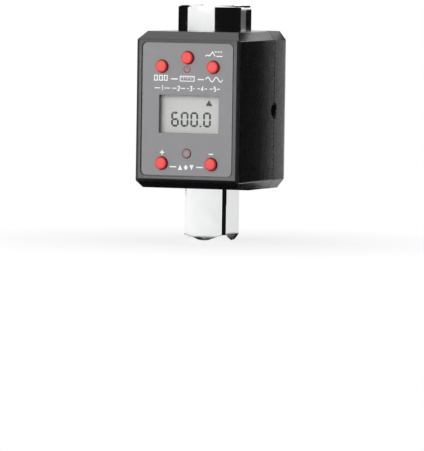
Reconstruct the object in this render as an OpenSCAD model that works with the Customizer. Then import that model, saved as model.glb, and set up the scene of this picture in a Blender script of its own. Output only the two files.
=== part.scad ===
// Digital torque adapter: a square-drive torque shaft held in a two-part housing that
// carries a display, five keys, a data port and a battery bay.
// Millimetres. +Z runs along the shaft to the socket end, -Y comes out of the face, and
// the origin is the centre of the drive square's flat end.

/* [Drive end] */
// Width over the flats of the drive square
drive_w = 19.05; // [18:0.05:19.5]
// Diameter that the square's corners are turned to
drive_corner_d = 25.0; // [24:0.1:25.6]
// Length of the drive square below the housing
drive_len = 22.8; // [18:0.1:30]
// Diameter of the flat at the end of the drive square
drive_foot_d = 17.0; // [15:0.1:18]
// Height of the turned bevel at the square's corners
drive_bevel_h = 3.2; // [2:0.1:4]
// Diameter of the detent ball
ball_d = 6.35; // [5.5:0.05:6.6]
// Height of the detent ball above the square's end
ball_h = 10.2; // [8:0.1:14]
// How far the detent ball stands out of the square
ball_proud = 1.2; // [0.8:0.1:1.4]

/* [Socket end] */
// Diameter of the hub
hub_d = 31.6; // [30.5:0.1:33]
// Height of the hub above the housing
hub_proud = 11.1; // [6:0.1:16]
// Bevel round the hub's rim
hub_rim = 0.7; // [0.4:0.1:1]
// Width over the flats of the socket
socket_w = 19.25; // [19.2:0.05:20]
// Diameter of the socket's corners
socket_corner_d = 26.0; // [25:0.1:27]
// Depth of the socket
socket_depth = 24.0; // [20:0.5:26]

/* [Torque shaft inside] */
// Diameter of the collar that stands on the housing's floor
collar_d = 30.0; // [28.4:0.1:30.4]
// Height of the collar
collar_h = 5.6; // [4:0.1:6.5]
// Width over the flats of the neck that the retaining fork holds
neck_w = 20.0; // [19:0.1:21]
// Diameter of the strained waist
waist_d = 20.0; // [18:0.1:22]
// Distance between the waist's two gauge flats
gauge_flat_w = 18.0; // [16:0.1:17.9]
// Length of the gauge flats
gauge_flat_l = 14.0; // [11:0.1:15]

/* [Housing] */
// Width of the housing
body_w = 46.5; // [45.9:0.1:50]
// Height of the housing
body_h = 67.6; // [66:0.1:74]
// Distance from the shaft's axis to the face
face_depth = 32.3; // [31.4:0.1:38]
// Distance from the shaft's axis to the back
back_depth = 33.2; // [33:0.1:38]
// Distance from the shaft's axis back to the parting line
part_depth = 12.2; // [12:0.1:12.8]
// Wall thickness
wall = 2.2; // [2:0.1:2.4]
// Height of the bevel along the sides and the back, at the top and the bottom
edge_rise = 3.8; // [3:0.1:4]
// Width of that bevel
edge_run = 2.8; // [2.2:0.1:3.2]
// Height of the bevel above the face
brow_rise = 3.6; // [3:0.1:4]
// Depth of the bevel above the face
brow_run = 6.0; // [4:0.1:7]
// Width of the bevel down each side of the face
cheek_run = 1.2; // [0.6:0.1:1.4]
// Depth of the bevel down each side of the face
cheek_depth = 0.8; // [0.4:0.1:1]
// Leg of the bevel under the face
chin_bevel = 4.0; // [3:0.1:4.4]
// How much lower the underside lies at the shaft than under the face
belly_drop = 0.9; // [0.4:0.1:1.2]
// Radius of the upright edges at the back
back_r = 8.0; // [7:0.1:8.4]
// Depth of the groove at the parting line
part_groove = 0.4; // [0.2:0.05:0.5]

/* [Face] */
// Width of the face's rim beside the label
label_side = 2.9; // [2.6:0.1:4]
// Height of the face's rim above the label
label_top = 1.2; // [0.9:0.1:1.6]
// Radius of the label's corners
label_r = 2.2; // [1:0.1:3]
// Distance from the housing's side to the display opening
view_side = 9.75; // [9.25:0.05:11]
// Height of the display opening
view_h = 16.1; // [14:0.1:17]
// Distance of the display opening's middle from the middle of the face
view_shift = 0.7; // [0:0.1:1]
// Diameter of a key
key_d = 5.2; // [4.8:0.1:6]
// How far a key stands out of the label
key_proud = 2.0; // [1.4:0.1:2.4]
// Travel of a key
key_travel = 0.6; // [0.3:0.05:0.8]
// Diameter of the indicator lens
lens_d = 4.0; // [3.6:0.1:4.4]

/* [Data port] */
// Diameter of the port's bore
port_d = 3.6; // [3.5:0.05:3.7]
// Depth of the port's bore
port_len = 12.6; // [10:0.1:12.8]
// Height of the port above the housing's underside
port_h = 33.6; // [31:0.1:36]

/* [Battery bay] */
// Diameter of a battery
cell_d = 10.5; // [10:0.1:10.6]
// Length of a battery without its nub
cell_len = 43.7; // [43:0.1:44]
// Distance between the two batteries' axes
cell_pitch = 11.6; // [11.5:0.1:12]
// Width of the battery door
door_w = 26.0; // [25.6:0.1:26.4]
// Height of the battery door
door_h = 58.4; // [57.8:0.1:58.6]
// Thickness of the battery door
door_t = 2.0; // [1.8:0.1:2]

/* [Hidden] */
$fn = 96;

// Overrun of a cut, running gap and sliding gap
overrun = 1.0;
fit_gap = 0.1;
pin_gap = 0.05;

// Share of an inset by which a 45 degree bevel's ends move, and 1 over root 2
bevel_share = tan(22.5);
diagonal_share = cos(45);

// Heights of the housing
floor_z = drive_len;
roof_z = floor_z + body_h;
mid_z = (floor_z + roof_z) / 2;
inner_floor_z = floor_z + wall;
inner_roof_z = roof_z - wall;
chin_z = floor_z + belly_drop;
face_low_z = chin_z + chin_bevel;
face_top_z = roof_z - brow_rise;
belly_len = 18.0;

// Widths and depths of the housing
half_w = body_w / 2;
inner_x = half_w - wall;
face_y = -face_depth;
inner_face_y = face_y + wall;
part_y = part_depth;
back_y = back_depth;
corner_x = half_w - back_r;
corner_y = back_y - back_r;

// Tongue of the rear housing and its rebate in the front housing
tongue_len = 1.5;
rebate_len = tongue_len + fit_gap;
rebate_in = wall / 2;
tongue_in = rebate_in + fit_gap;
rebate_y = part_y - rebate_len;
tongue_y = part_y - tongue_len;
part_groove_y = part_y + part_groove;

// Openings of the housing round the shaft
hub_gap = 0.25;
hub_way_r = hub_d / 2 + hub_gap;
drive_gap = 0.5;
drive_way_r = drive_corner_d / 2 + drive_gap;
sleeve_wall = 1.75;
sleeve_h = 4.3;
sleeve_z = inner_roof_z - sleeve_h;
seat_h = 0.4;
seat_margin = 1.5;
seat_z = inner_floor_z + seat_h;

// Lower seal, a washer between the floor's seat and the collar
washer_t = 1.0;
collar_z = seat_z + washer_t;
neck_z = collar_z + collar_h;

// Neck, waist and hub
neck_h = 6.0;
neck_corner_d = 25.0;
neck_top_z = neck_z + neck_h;
shoulder_h = 2.0;
shoulder_z = neck_top_z + shoulder_h;
flare_h = 3.0;
waist_z = shoulder_z + flare_h;
hub_len = 33.5;
hub_top_z = roof_z + hub_proud;
hub_z = hub_top_z - hub_len;
hub_flare_h = 6.0;
waist_top_z = hub_z - hub_flare_h;
gauge_z = (waist_z + waist_top_z) / 2;
gauge_w = 7.0;
gauge_l = 10.0;
gauge_t = 0.2;
socket_z = hub_top_z - socket_depth;
socket_bevel = 0.8;
catch_w = 5.0;
catch_depth = 1.6;
catch_z = hub_top_z - ball_h;

// Upper seal in the hub's groove
groove_h = 2.2;
groove_depth = 1.2;
groove_z = sleeve_z + (sleeve_h - groove_h) / 2;
seal_h = groove_h - 2 * fit_gap;

// Detent: the ball's hole, its lip and its spring
ball_r = ball_d / 2;
ball_gap = 0.05;
ball_y = drive_w / 2 + ball_proud - ball_r;
lip_t = 0.4;
lip_gap = 0.1;
lip_y = drive_w / 2 - lip_t;
lip_r = sqrt(pow(ball_r, 2) - pow(lip_y - ball_y, 2)) + lip_gap;
detent_hole_r = ball_r + ball_gap;
detent_floor_y = -2.5;
detent_wire_r = 0.3;
detent_coil_r = 2.4;
detent_turns = 5;
detent_end_y = ball_y - sqrt(pow(ball_r + detent_wire_r, 2) - pow(detent_coil_r, 2)) - pin_gap;

// Screws: shank and head radii, head height and the drive cut in the head
shank_r = 1.25;
screw_head_r = 2.2;
screw_head_h = 1.4;
small_shank_r = 1.0;
small_head_r = 1.9;
small_head_h = 1.2;
hex_share = 0.5;
hex_depth_share = 0.6;

// Retaining fork
fork_t = 3.0;
fork_arm_w = 3.0;
fork_front_y = -9.0;
fork_back_y = neck_w / 2 + fork_t;
fork_ear_h = 5.5;
fork_hole_in = 3.0;
fork_hole_rise = 2.8;
fork_ear_out = 2.4;
fork_hole_x = inner_x - fork_hole_in;
fork_hole_z = neck_z + fork_hole_rise;
fork_ear_x = fork_hole_x + fork_ear_out;
fork_boss_r = 2.6;
fork_boss_len = 6.0;

// Housing screws and the bosses that they join
case_screw_in = 3.7;
case_screw_rise = 5.9;
case_screw_x = inner_x - case_screw_in;
case_screw_low_z = floor_z + case_screw_rise;
case_screw_high_z = roof_z - case_screw_rise;
case_boss_r = 2.6;
case_boss_len = 5.8;
case_boss_y = part_y - case_boss_len;
case_column_r = 3.2;
case_column_sunk = 0.1;
case_sink_r = 2.5;
case_seat_len = 6.0;
case_seat_y = part_y + case_seat_len;
case_thread_len = 4.5;
case_pilot_y = part_y - case_thread_len;

// Label, its recess and the openings in it
label_t = 0.5;
label_sunk = 0.1;
label_gap = 0.6;
label_low = 1.6;
label_bottom_z = face_low_z + label_low;
label_top_z = face_top_z - label_top;
label_mid_z = (label_bottom_z + label_top_z) / 2;
label_w = body_w - 2 * label_side;
label_h = label_top_z - label_bottom_z;
label_y = face_y + label_sunk;
recess_y = label_y + label_t;

// Places of the keys, the lens and the display opening
key_high_in = 8.75;
key_high_drop = 10.0;
key_mid_drop = 6.2;
key_low_in = 9.15;
key_low_rise = 5.1;
lens_rise = 9.4;
view_rise = 26.05;
key_high_x = label_w / 2 - key_high_in;
key_low_x = label_w / 2 - key_low_in;
key_high_z = label_top_z - key_high_drop;
key_mid_z = label_top_z - key_mid_drop;
key_low_z = label_bottom_z + key_low_rise;
lens_z = label_bottom_z + lens_rise;
view_z = label_bottom_z + view_rise;
view_w = body_w - 2 * view_side;
view_low_x = view_shift - view_w / 2;
view_high_x = view_shift + view_w / 2;

// Keys, their switches and plungers
key_gap = 0.25;
key_r = key_d / 2;
key_round = 0.9;
key_front_y = label_y - key_proud;
flange_out = 1.3;
flange_t = 0.8;
flange_y = inner_face_y + fit_gap;
stem_r = 1.75;
stem_len = 0.8;
stem_y = flange_y + flange_t + stem_len;
switch_w = 6.0;
switch_hole_gap = 0.15;
plunger_out = 1.0;
plunger_in = 1.0;
switch_y = stem_y + plunger_out;

// Board
board_in = 6.3;
board_y = inner_face_y + board_in;
board_t = 1.6;
board_back_y = board_y + board_t;
board_side_gap = 1.2;
board_w = 2 * (inner_x - board_side_gap);
board_low_gap = 7.0;
board_top_gap = 4.4;
board_bottom_z = floor_z + board_low_gap;
board_top_z = roof_z - board_top_gap;
board_screw_in = 3.8;
board_screw_rise = 18.6;
board_screw_drop = 8.4;
board_screw_x = inner_x - board_screw_in;
board_screw_low_z = floor_z + board_screw_rise;
board_screw_high_z = roof_z - board_screw_drop;
board_boss_r = 2.4;

// Display: pane, cell, frame and contact strips
pane_margin = 2.0;
pane_t = 1.0;
pane_y = inner_face_y + pane_t;
lcd_side = 2.1;
lcd_end = 1.65;
lcd_gap = 0.3;
lcd_w = view_w + 2 * lcd_side;
lcd_h = view_h + 2 * lcd_end;
lcd_y = pane_y + lcd_gap;
lcd_plate_t = 1.3;
lcd_ledge = 1.2;
frame_wall = 1.2;
frame_gap = 0.1;
strip_w = 2.0;

// Indicator lens and lamp
lens_gap = 0.1;
lens_r = lens_d / 2;
lens_proud = 0.5;
lens_flange = 0.8;
lens_flange_t = 0.6;
lamp_r = 1.5;
lamp_base_r = 1.9;
lamp_base_t = 1.0;

// Parts on the back of the board
processor_w = 10.0;
processor_t = 1.6;
processor_drop = 18.0;
processor_z = roof_z - processor_drop;
side_part_in = 8.7;
side_part_x = board_w / 2 - side_part_in;
side_part_drop = 4.0;
side_part_z = gauge_z - side_part_drop;
amplifier_w = 5.0;
amplifier_t = 1.4;
buzzer_t = 4.0;
buzzer_hole_r = 0.8;

// Data jack
port_z = floor_z + port_h;
port_r = port_d / 2;
port_hole_r = 2.6;
jack_gap = 0.2;
jack_x = inner_x - jack_gap;
jack_len = 14.0;
jack_w = 6.4;
jack_h = 6.0;
port_ring_r = 3.7;
port_ring_depth = 0.4;
cradle_t = 1.2;
cradle_arm = 2.0;
cradle_outer_in = 3.6;
cradle_outer_x = jack_x - cradle_outer_in;

// Battery bay
bay_wall = 1.3;
cell_gap = 0.25;
door_y = back_y - door_t;
rib_h = 0.8;
rib_w = 1.2;
cell_r = cell_d / 2;
cell_y = door_y - rib_h - fit_gap - cell_r;
nub_r = 1.9;
nub_h = 0.8;
plate_t = 0.4;
plate_w = 7.6;
spring_h = 2.3;
bay_len = plate_t + spring_h + cell_len + nub_h + plate_t;
bay_z = mid_z - bay_len / 2;
bay_top_z = bay_z + bay_len;
bay_floor_y = cell_y - cell_r - cell_gap;
bay_x = cell_pitch / 2 + cell_r + cell_gap;
cradle_inner_x = bay_x + bay_wall - cradle_t;
cradle_spans = [[cradle_inner_x, cradle_inner_x + cradle_t], [cradle_outer_x, inner_x + wall / 4]];
spring_wire_r = 0.25;
spring_low_r = 3.6;
spring_high_r = 2.2;
spring_turns = 2.5;
tab_w = 3.0;
tab_len = 1.5;

// Battery door and its screws
door_r = 2.0;
door_gap = 0.15;
ledge_w = 1.2;
ledge_t = 2.0;
door_screw_in = 2.5;
door_screw_zs = [mid_z - door_h / 2 + door_screw_in, mid_z + door_h / 2 - door_screw_in];
door_boss_r = 2.4;
door_sink_r = 2.1;
door_sink_depth = 1.3;
door_screw_len = 8.0;

// Wires: how far they stand off before they bend, their way past the shaft at the side,
// and where they meet the board
wire_r = 0.6;
wire_sides = 8;
wire_steps = 6;
wire_lead = 3.0;
wire_step = 1.4;
wire_side_in = 4.8;
wire_side_x = inner_x - wire_side_in;
wire_rear_x = bay_x + bay_wall + wire_r;
wire_rear_gap = 1.2;
wire_rear_y = part_y + wire_rear_gap;
wire_board_y = board_back_y + wire_r;
wire_board_gap = 8.0;
wire_near_y = board_back_y + wire_board_gap;
wire_end_in = 8.6;
wire_end_x = inner_x - wire_end_in;
power_low_z = neck_top_z + wire_lead;
power_wire_rise = 2.2;
power_high_z = power_low_z + power_wire_rise;
buzzer_r = 4.5;
port_wire_drop = 8.6;
port_wire_low_z = port_z - port_wire_drop;
port_wire_end_gap = 1.0;
port_wire_end_z = side_part_z + buzzer_r + wire_r + port_wire_end_gap;
gauge_wire_drop = 3.0;
gauge_wire_z = gauge_z - gauge_wire_drop;
gauge_wire_rise = 5.0;
front_wire_x = -side_part_x / 2;
rear_wire_y = 8.6;
rear_wire_x = -12.0;
power_wire_route = [
    [cell_pitch / 2, bay_floor_y - bay_wall - tab_len, bay_z + plate_t + wire_r],
    [cell_pitch / 2 + wire_step, bay_floor_y - bay_wall - tab_len - wire_step,
        bay_z + plate_t + wire_lead],
    [wire_rear_x, wire_rear_y, power_low_z],
    [wire_side_x, 0, power_low_z + wire_step],
    [wire_side_x, wire_near_y, power_high_z],
    [wire_end_x, wire_board_y, power_high_z]];
port_wire_route = [
    [jack_x - jack_len - wire_r, part_y, port_z],
    [jack_x - jack_len - wire_step, part_y + wire_step, port_z - wire_lead],
    [wire_rear_x - wire_step, part_y, port_wire_low_z],
    [wire_side_x + wire_step, 0, port_wire_low_z],
    [wire_side_x + wire_step, wire_near_y + wire_step, port_wire_end_z - wire_step],
    [wire_end_x, wire_board_y, port_wire_end_z]];
front_gauge_route = [
    [0, -gauge_flat_w / 2 - gauge_t - wire_r, gauge_wire_z],
    [front_wire_x / 3, -gauge_flat_w / 2 - wire_lead, gauge_wire_z - wire_r],
    [front_wire_x * 2 / 3, wire_board_y + wire_lead, gauge_wire_z],
    [front_wire_x, wire_board_y, gauge_wire_z + wire_r]];
rear_gauge_route = [
    [0, gauge_flat_w / 2 + gauge_t + wire_r, gauge_wire_z],
    [rear_wire_x / 3, gauge_flat_w / 2 + wire_lead, gauge_wire_z - wire_r],
    [rear_wire_x, rear_wire_y, gauge_wire_z - wire_step],
    [-wire_side_x, -wire_lead, gauge_wire_z + wire_r],
    [-wire_side_x + wire_step, wire_near_y, gauge_wire_z + gauge_wire_rise],
    [-side_part_x, wire_board_y, gauge_wire_z + gauge_wire_rise + wire_lead]];

// Places [x, z] of the five keys
MEMORY = [-key_high_x, key_high_z];
UNIT = [0, key_mid_z];
PEAK = [key_high_x, key_high_z];
PLUS = [-key_low_x, key_low_z];
MINUS = [key_low_x, key_low_z];
KEYS = [MEMORY, UNIT, PEAK, PLUS, MINUS];

// A box between two corners
module block(low, high) {
    translate(low) cube(high - low);
}

// A round bar along Y from y0 to y1, at x and z
module bar_y(r, y0, y1, place = [0, 0]) {
    translate([place[0], y0, place[1]]) rotate([-90, 0, 0]) cylinder(h = y1 - y0, r = r);
}

// A round bar along X from x0 to x1, at y and z
module bar_x(r, x0, x1, place) {
    translate([x0, place[0], place[1]]) rotate([0, 90, 0]) cylinder(h = x1 - x0, r = r);
}

// A flat outline drawn in X and Z, made solid from y0 to y1
module slab(y0, y1) {
    translate([0, y1, 0]) rotate([90, 0, 0]) linear_extrude(y1 - y0) children();
}

// A rectangle with round corners, w wide and h high about the origin
module round_rect(w, h, r) {
    square([w - 2 * r, h], center = true);
    square([w, h - 2 * r], center = true);
    for (x = [-1, 1], z = [-1, 1]) {
        translate([x * (w / 2 - r), z * (h / 2 - r)]) circle(r);
    }
}

// A screw along -Y with its head's top at y, a hexagon cut in the head
module screw_y(shank, head, head_h, length, y, place) {
    difference() {
        union() {
            bar_y(head, y - head_h, y, place);
            bar_y(shank, y - head_h - length, y - head_h, place);
        }
        translate([place[0], y - head_h * hex_depth_share, place[1]])
            rotate([-90, 0, 0])
                cylinder(h = head_h, r = head * hex_share, $fn = 6);
    }
}

// A tube of radius r along a list of points, swept with a carried frame
function unit(v) = v / norm(v);
function headings(p) = [for (i = [0:len(p) - 1])
    unit(p[min(i + 1, len(p) - 1)] - p[max(i - 1, 0)])];
function square_to(n, t) = unit(n - t * (n * t));
function first_side(t) = abs(t[2]) < diagonal_share ? [0, 0, 1] : [1, 0, 0];
function sides(t) = [for (i = 0, n = square_to(first_side(t[0]), t[0]);
    i < len(t);
    i = i + 1, n = i < len(t) ? square_to(n, t[i]) : n) n];

module tube(points, r, count) {
    ways = headings(points);
    normals = sides(ways);
    last = len(points) - 1;
    rings = [for (i = [0:last], k = [0:count - 1])
        points[i] + r * (cos(360 * k / count) * normals[i]
            + sin(360 * k / count) * cross(ways[i], normals[i]))];
    skin = [for (i = [0:last - 1], k = [0:count - 1])
        let (a = i * count + k, b = i * count + (k + 1) % count)
            [a, a + count, b + count, b]];
    triangles = [for (f = skin) each [[f[0], f[1], f[2]], [f[0], f[2], f[3]]]];
    near_end = [[for (k = [0:count - 1]) k]];
    far_end = [[for (k = [0:count - 1]) last * count + count - 1 - k]];
    polyhedron(concat(rings, [for (f = triangles) each []]), concat(triangles, near_end, far_end));
}

// A smooth curve through a route's points
function bend(a, b, c, d, t) = 0.5 * (2 * b + (c - a) * t + (2 * a - 5 * b + 4 * c - d) * pow(t, 2)
    + (3 * b - 3 * c + d - a) * pow(t, 3));
function smooth(p, steps) = concat([for (i = [0:len(p) - 2], s = [0:steps - 1])
    bend(p[max(i - 1, 0)], p[i], p[i + 1], p[min(i + 2, len(p) - 1)], s / steps)],
    [p[len(p) - 1]]);

// A coil about Z from z0 to z1, whose radius runs from r0 to r1
function coil(r0, r1, turns, z0, z1, per_turn) = [for (i = [0:turns * per_turn])
    let (s = i / (turns * per_turn), r = r0 + (r1 - r0) * s)
        [r * cos(360 * turns * s), r * sin(360 * turns * s), z0 + (z1 - z0) * s]];

module wire(route) {
    tube(smooth(route, wire_steps), wire_r, wire_sides);
}

// What is left of one leg of a bevel when its outline is inset by d
function kept(leg, other, d) = leg - d + d * (norm([leg, other]) - leg) / other;

// The housing's outline seen from the front, inset by d on all sides
module end_outline(d) {
    run = kept(edge_run, edge_rise, d);
    rise = kept(edge_rise, edge_run, d);
    x = half_w - d;
    low = floor_z + d;
    high = roof_z - d;
    polygon([[-x + run, low], [x - run, low], [x, low + rise], [x, high - rise],
        [x - run, high], [-x + run, high], [-x, high - rise], [-x, low + rise]]);
}

// The housing's outline seen from the side, in Y and Z, inset by d
module side_outline(d) {
    run = kept(edge_run, edge_rise, d);
    rise = kept(edge_rise, edge_run, d);
    front = face_y + d;
    back = back_y - d;
    low = floor_z + d;
    high = roof_z - d;
    polygon([[front, face_low_z + d * bevel_share],
        [face_y + chin_bevel + d * bevel_share, chin_z + d],
        [face_y + chin_bevel + belly_len, low],
        [back - run, low], [back, low + rise], [back, high - rise], [back - run, high],
        [front + kept(brow_run, brow_rise, d), high],
        [front, high - kept(brow_rise, brow_run, d)]]);
}

// The housing's form in front of y, inset by d
module front_form(d, y) {
    intersection() {
        slab(face_y + d, y) end_outline(d);
        translate([-half_w, 0, 0]) rotate([90, 0, 90]) linear_extrude(body_w) side_outline(d);
    }
}

// What is cut off beside the face, down the front housing's two upright edges
module cheek_cuts() {
    for (side = [0, 1]) {
        mirror([side, 0, 0]) translate([0, 0, floor_z - overrun])
            linear_extrude(body_h + 2 * overrun)
                polygon([[half_w - 2 * cheek_run, face_y - cheek_depth],
                    [half_w + cheek_run, face_y - cheek_depth],
                    [half_w + cheek_run, face_y + 2 * cheek_depth]]);
    }
}

// One rounded upright corner of the rear housing, bevelled at both ends
module back_corner(d) {
    run = kept(edge_run, edge_rise, d);
    rise = kept(edge_rise, edge_run, d);
    r = back_r - d;
    rotate_extrude() polygon([[0, floor_z + d], [r - run, floor_z + d],
        [r, floor_z + d + rise], [r, roof_z - d - rise], [r - run, roof_z - d],
        [0, roof_z - d]]);
}

// The housing's form behind y, inset by d
module rear_form(d, y) {
    slab(y, corner_y) end_outline(d);
    intersection() {
        translate([-corner_x, 0, 0]) rotate([90, 0, 90]) linear_extrude(2 * corner_x) side_outline(d);
        block([-half_w, y, floor_z], [half_w, back_y, roof_z]);
    }
    for (x = [-corner_x, corner_x]) translate([x, corner_y, 0]) back_corner(d);
}

// What both housings leave free for the shaft and for the port
module shaft_ways() {
    translate([0, 0, sleeve_z - overrun])
        cylinder(h = sleeve_h + wall + 2 * overrun, r = hub_way_r);
    translate([0, 0, floor_z - overrun])
        cylinder(h = wall + seat_h + 2 * overrun, r = drive_way_r);
}

module port_way() {
    bar_x(port_hole_r, inner_x - overrun, half_w + overrun, [part_y, port_z]);
    bar_x(port_ring_r, half_w - port_ring_depth, half_w + overrun, [part_y, port_z]);
}

// The seat round the lower opening and the sleeve round the upper one
module shaft_seats() {
    translate([0, 0, inner_floor_z - wall / 4])
        cylinder(h = seat_h + wall / 4, r = collar_d / 2 + seat_margin);
    translate([0, 0, sleeve_z])
        cylinder(h = sleeve_h + wall / 4, r = hub_way_r + sleeve_wall);
}

module case_screw_places() {
    for (x = [-case_screw_x, case_screw_x], z = [case_screw_low_z, case_screw_high_z]) {
        translate([x, 0, z]) children();
    }
}

// Webs from the housing screws' bosses or columns into the side walls
module screw_webs(y0, y1) {
    for (side = [0, 1], z = [case_screw_low_z, case_screw_high_z]) {
        mirror([side, 0, 0])
            block([case_screw_x, y0, z - rib_w / 2], [inner_x + wall / 4, y1, z + rib_w / 2]);
    }
}

module board_screw_places() {
    for (x = [-board_screw_x, board_screw_x], z = [board_screw_low_z, board_screw_high_z]) {
        translate([x, 0, z]) children();
    }
}

module torque_shaft() {
    color([0.82, 0.83, 0.85])
    difference() {
        union() {
            intersection() {
                translate([-drive_w / 2, -drive_w / 2, 0]) cube([drive_w, drive_w, collar_z]);
                rotate_extrude() polygon([[0, 0], [drive_foot_d / 2, 0],
                    [drive_corner_d / 2, drive_bevel_h], [drive_corner_d / 2, collar_z],
                    [0, collar_z]]);
            }
            translate([0, 0, collar_z]) cylinder(h = collar_h, r = collar_d / 2);
            intersection() {
                translate([-neck_w / 2, -neck_w / 2, neck_z]) cube([neck_w, neck_w, neck_h]);
                translate([0, 0, neck_z]) cylinder(h = neck_h, r = neck_corner_d / 2);
            }
            rotate_extrude() polygon([[0, neck_top_z], [neck_corner_d / 2, neck_top_z],
                [neck_corner_d / 2, shoulder_z], [waist_d / 2, waist_z],
                [waist_d / 2, waist_top_z], [hub_d / 2, hub_z],
                [hub_d / 2, hub_top_z - hub_rim], [hub_d / 2 - hub_rim, hub_top_z],
                [0, hub_top_z]]);
        }
        socket_space();
        gauge_flats();
        upper_groove();
        detent_hole();
    }
}

module socket_space() {
    intersection() {
        translate([-socket_w / 2, -socket_w / 2, socket_z])
            cube([socket_w, socket_w, socket_depth + overrun]);
        translate([0, 0, socket_z]) cylinder(h = socket_depth + overrun, r = socket_corner_d / 2);
    }
    translate([0, 0, hub_top_z - socket_bevel])
        cylinder(h = socket_bevel + overrun, r1 = socket_w / 2 + socket_bevel,
            r2 = socket_w / 2 + 2 * socket_bevel + overrun);
    translate([0, 0, catch_z - catch_w / 2])
        cylinder(h = catch_w, r = socket_w / 2 + catch_depth);
}

module gauge_flats() {
    for (side = [-1, 1]) {
        translate([0, side * (gauge_flat_w + waist_d) / 2, gauge_z])
            cube([waist_d, waist_d, gauge_flat_l], center = true);
    }
}

module upper_groove() {
    translate([0, 0, groove_z]) difference() {
        cylinder(h = groove_h, r = hub_d / 2 + overrun);
        translate([0, 0, -overrun])
            cylinder(h = groove_h + 2 * overrun, r = hub_d / 2 - groove_depth);
    }
}

module detent_hole() {
    bar_y(detent_hole_r, detent_floor_y, lip_y, [0, ball_h]);
    bar_y(lip_r, lip_y - overrun, drive_w / 2 + overrun, [0, ball_h]);
}

module strain_gauges() {
    color([0.80, 0.55, 0.25])
    for (side = [-1, 1]) {
        translate([0, side * (gauge_flat_w + gauge_t) / 2, gauge_z])
            cube([gauge_w, gauge_t, gauge_l], center = true);
    }
}

module detent_ball() {
    color([0.75, 0.76, 0.78])
    translate([0, ball_y, ball_h]) sphere(ball_r);
}

module detent_spring() {
    color([0.6, 0.6, 0.62])
    translate([0, 0, ball_h]) rotate([-90, 0, 0])
        tube(coil(detent_coil_r, detent_coil_r, detent_turns, detent_floor_y + detent_wire_r,
            detent_end_y, 12), detent_wire_r, 6);
}

module upper_seal() {
    color([0.08, 0.08, 0.08])
    translate([0, 0, groove_z + fit_gap]) difference() {
        cylinder(h = seal_h, r = hub_way_r);
        translate([0, 0, -overrun])
            cylinder(h = seal_h + 2 * overrun, r = hub_d / 2 - groove_depth);
    }
}

module lower_seal() {
    color([0.08, 0.08, 0.08])
    translate([0, 0, seat_z]) difference() {
        cylinder(h = washer_t, r = collar_d / 2);
        translate([0, 0, -overrun]) cylinder(h = washer_t + 2 * overrun, r = drive_way_r);
    }
}

module retaining_fork() {
    neck = neck_w / 2 + pin_gap;
    color([0.62, 0.63, 0.65])
    difference() {
        union() {
            block([-neck - fork_arm_w, fork_front_y, neck_z],
                [neck + fork_arm_w, fork_back_y, neck_z + fork_t]);
            block([-fork_ear_x, fork_back_y - fork_t, neck_z],
                [fork_ear_x, fork_back_y, neck_z + fork_ear_h]);
        }
        block([-neck, fork_front_y - overrun, neck_z - overrun],
            [neck, neck, neck_z + fork_ear_h + overrun]);
        for (x = [-fork_hole_x, fork_hole_x]) {
            bar_y(shank_r + pin_gap, 0, fork_back_y + overrun, [x, fork_hole_z]);
        }
    }
}

module fork_screws() {
    color([0.5, 0.5, 0.52])
    for (x = [-fork_hole_x, fork_hole_x]) {
        screw_y(shank_r, screw_head_r, screw_head_h, fork_t + fork_boss_len - overrun,
            fork_back_y + screw_head_h, [x, fork_hole_z]);
    }
}

// The front housing's bosses, each running into the wall or face that carries it
module front_bosses() {
    boss_end_y = fork_back_y - fork_t;
    case_screw_places() bar_y(case_boss_r, case_boss_y, part_y);
    screw_webs(case_boss_y, rebate_y);
    for (side = [-1, 1]) {
        bar_y(fork_boss_r, boss_end_y - fork_boss_len, boss_end_y,
            [side * fork_hole_x, fork_hole_z]);
        translate([side * (fork_hole_x + wall), 0, 0])
            block([-wall, boss_end_y - fork_boss_len, fork_hole_z - fork_boss_r],
                [wall, boss_end_y, fork_hole_z + fork_boss_r]);
    }
    board_screw_places() bar_y(board_boss_r, inner_face_y - wall / 4, board_y);
    // Stiffening ribs on the inside of the face, above and below the display
    for (z = [view_z - view_h / 2 - pane_margin - 2 * rib_w,
            view_z + view_h / 2 + pane_margin + 2 * rib_w]) {
        block([-inner_x, inner_face_y - wall / 4, z - rib_w / 2],
            [inner_x, inner_face_y + rib_w, z + rib_w / 2]);
    }
    block([jack_x - jack_w, part_y - jack_w / 2 - rib_w - 2 * cradle_arm, port_z - rib_w / 2],
        [inner_x + wall / 4, part_y - jack_w / 2 - fit_gap, port_z + rib_w / 2]);
}

module face_openings() {
    slab(face_y - overrun, recess_y) translate([0, label_mid_z])
        round_rect(label_w + 2 * label_gap, label_h + 2 * label_gap, label_r + label_gap);
    block([view_low_x, face_y - overrun, view_z - view_h / 2],
        [view_high_x, inner_face_y + overrun + rib_w, view_z + view_h / 2]);
    for (key = KEYS) bar_y(key_r + key_gap, face_y - overrun, inner_face_y + overrun, key);
    bar_y(lens_r + lens_gap, face_y - overrun, inner_face_y + overrun, [0, lens_z]);
}

module front_housing() {
    color([0.16, 0.16, 0.18])
    difference() {
        union() {
            difference() {
                front_form(0, part_y);
                front_form(wall, part_y + overrun);
                slab(rebate_y, part_y + overrun) end_outline(rebate_in);
            }
            intersection() {
                front_form(wall / 2, rebate_y);
                shaft_seats();
            }
            intersection() {
                front_form(wall / 2, part_y);
                front_bosses();
            }
        }
        cheek_cuts();
        shaft_ways();
        port_way();
        face_openings();
        case_screw_places() bar_y(shank_r + pin_gap, case_pilot_y, part_y + overrun);
        board_screw_places() bar_y(small_shank_r + pin_gap, inner_face_y, board_y + overrun);
        for (x = [-fork_hole_x, fork_hole_x]) {
            bar_y(shank_r + pin_gap, fork_back_y - fork_t - fork_boss_len, fork_back_y,
                [x, fork_hole_z]);
        }
        key_flange_rooms();
    }
}

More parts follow.
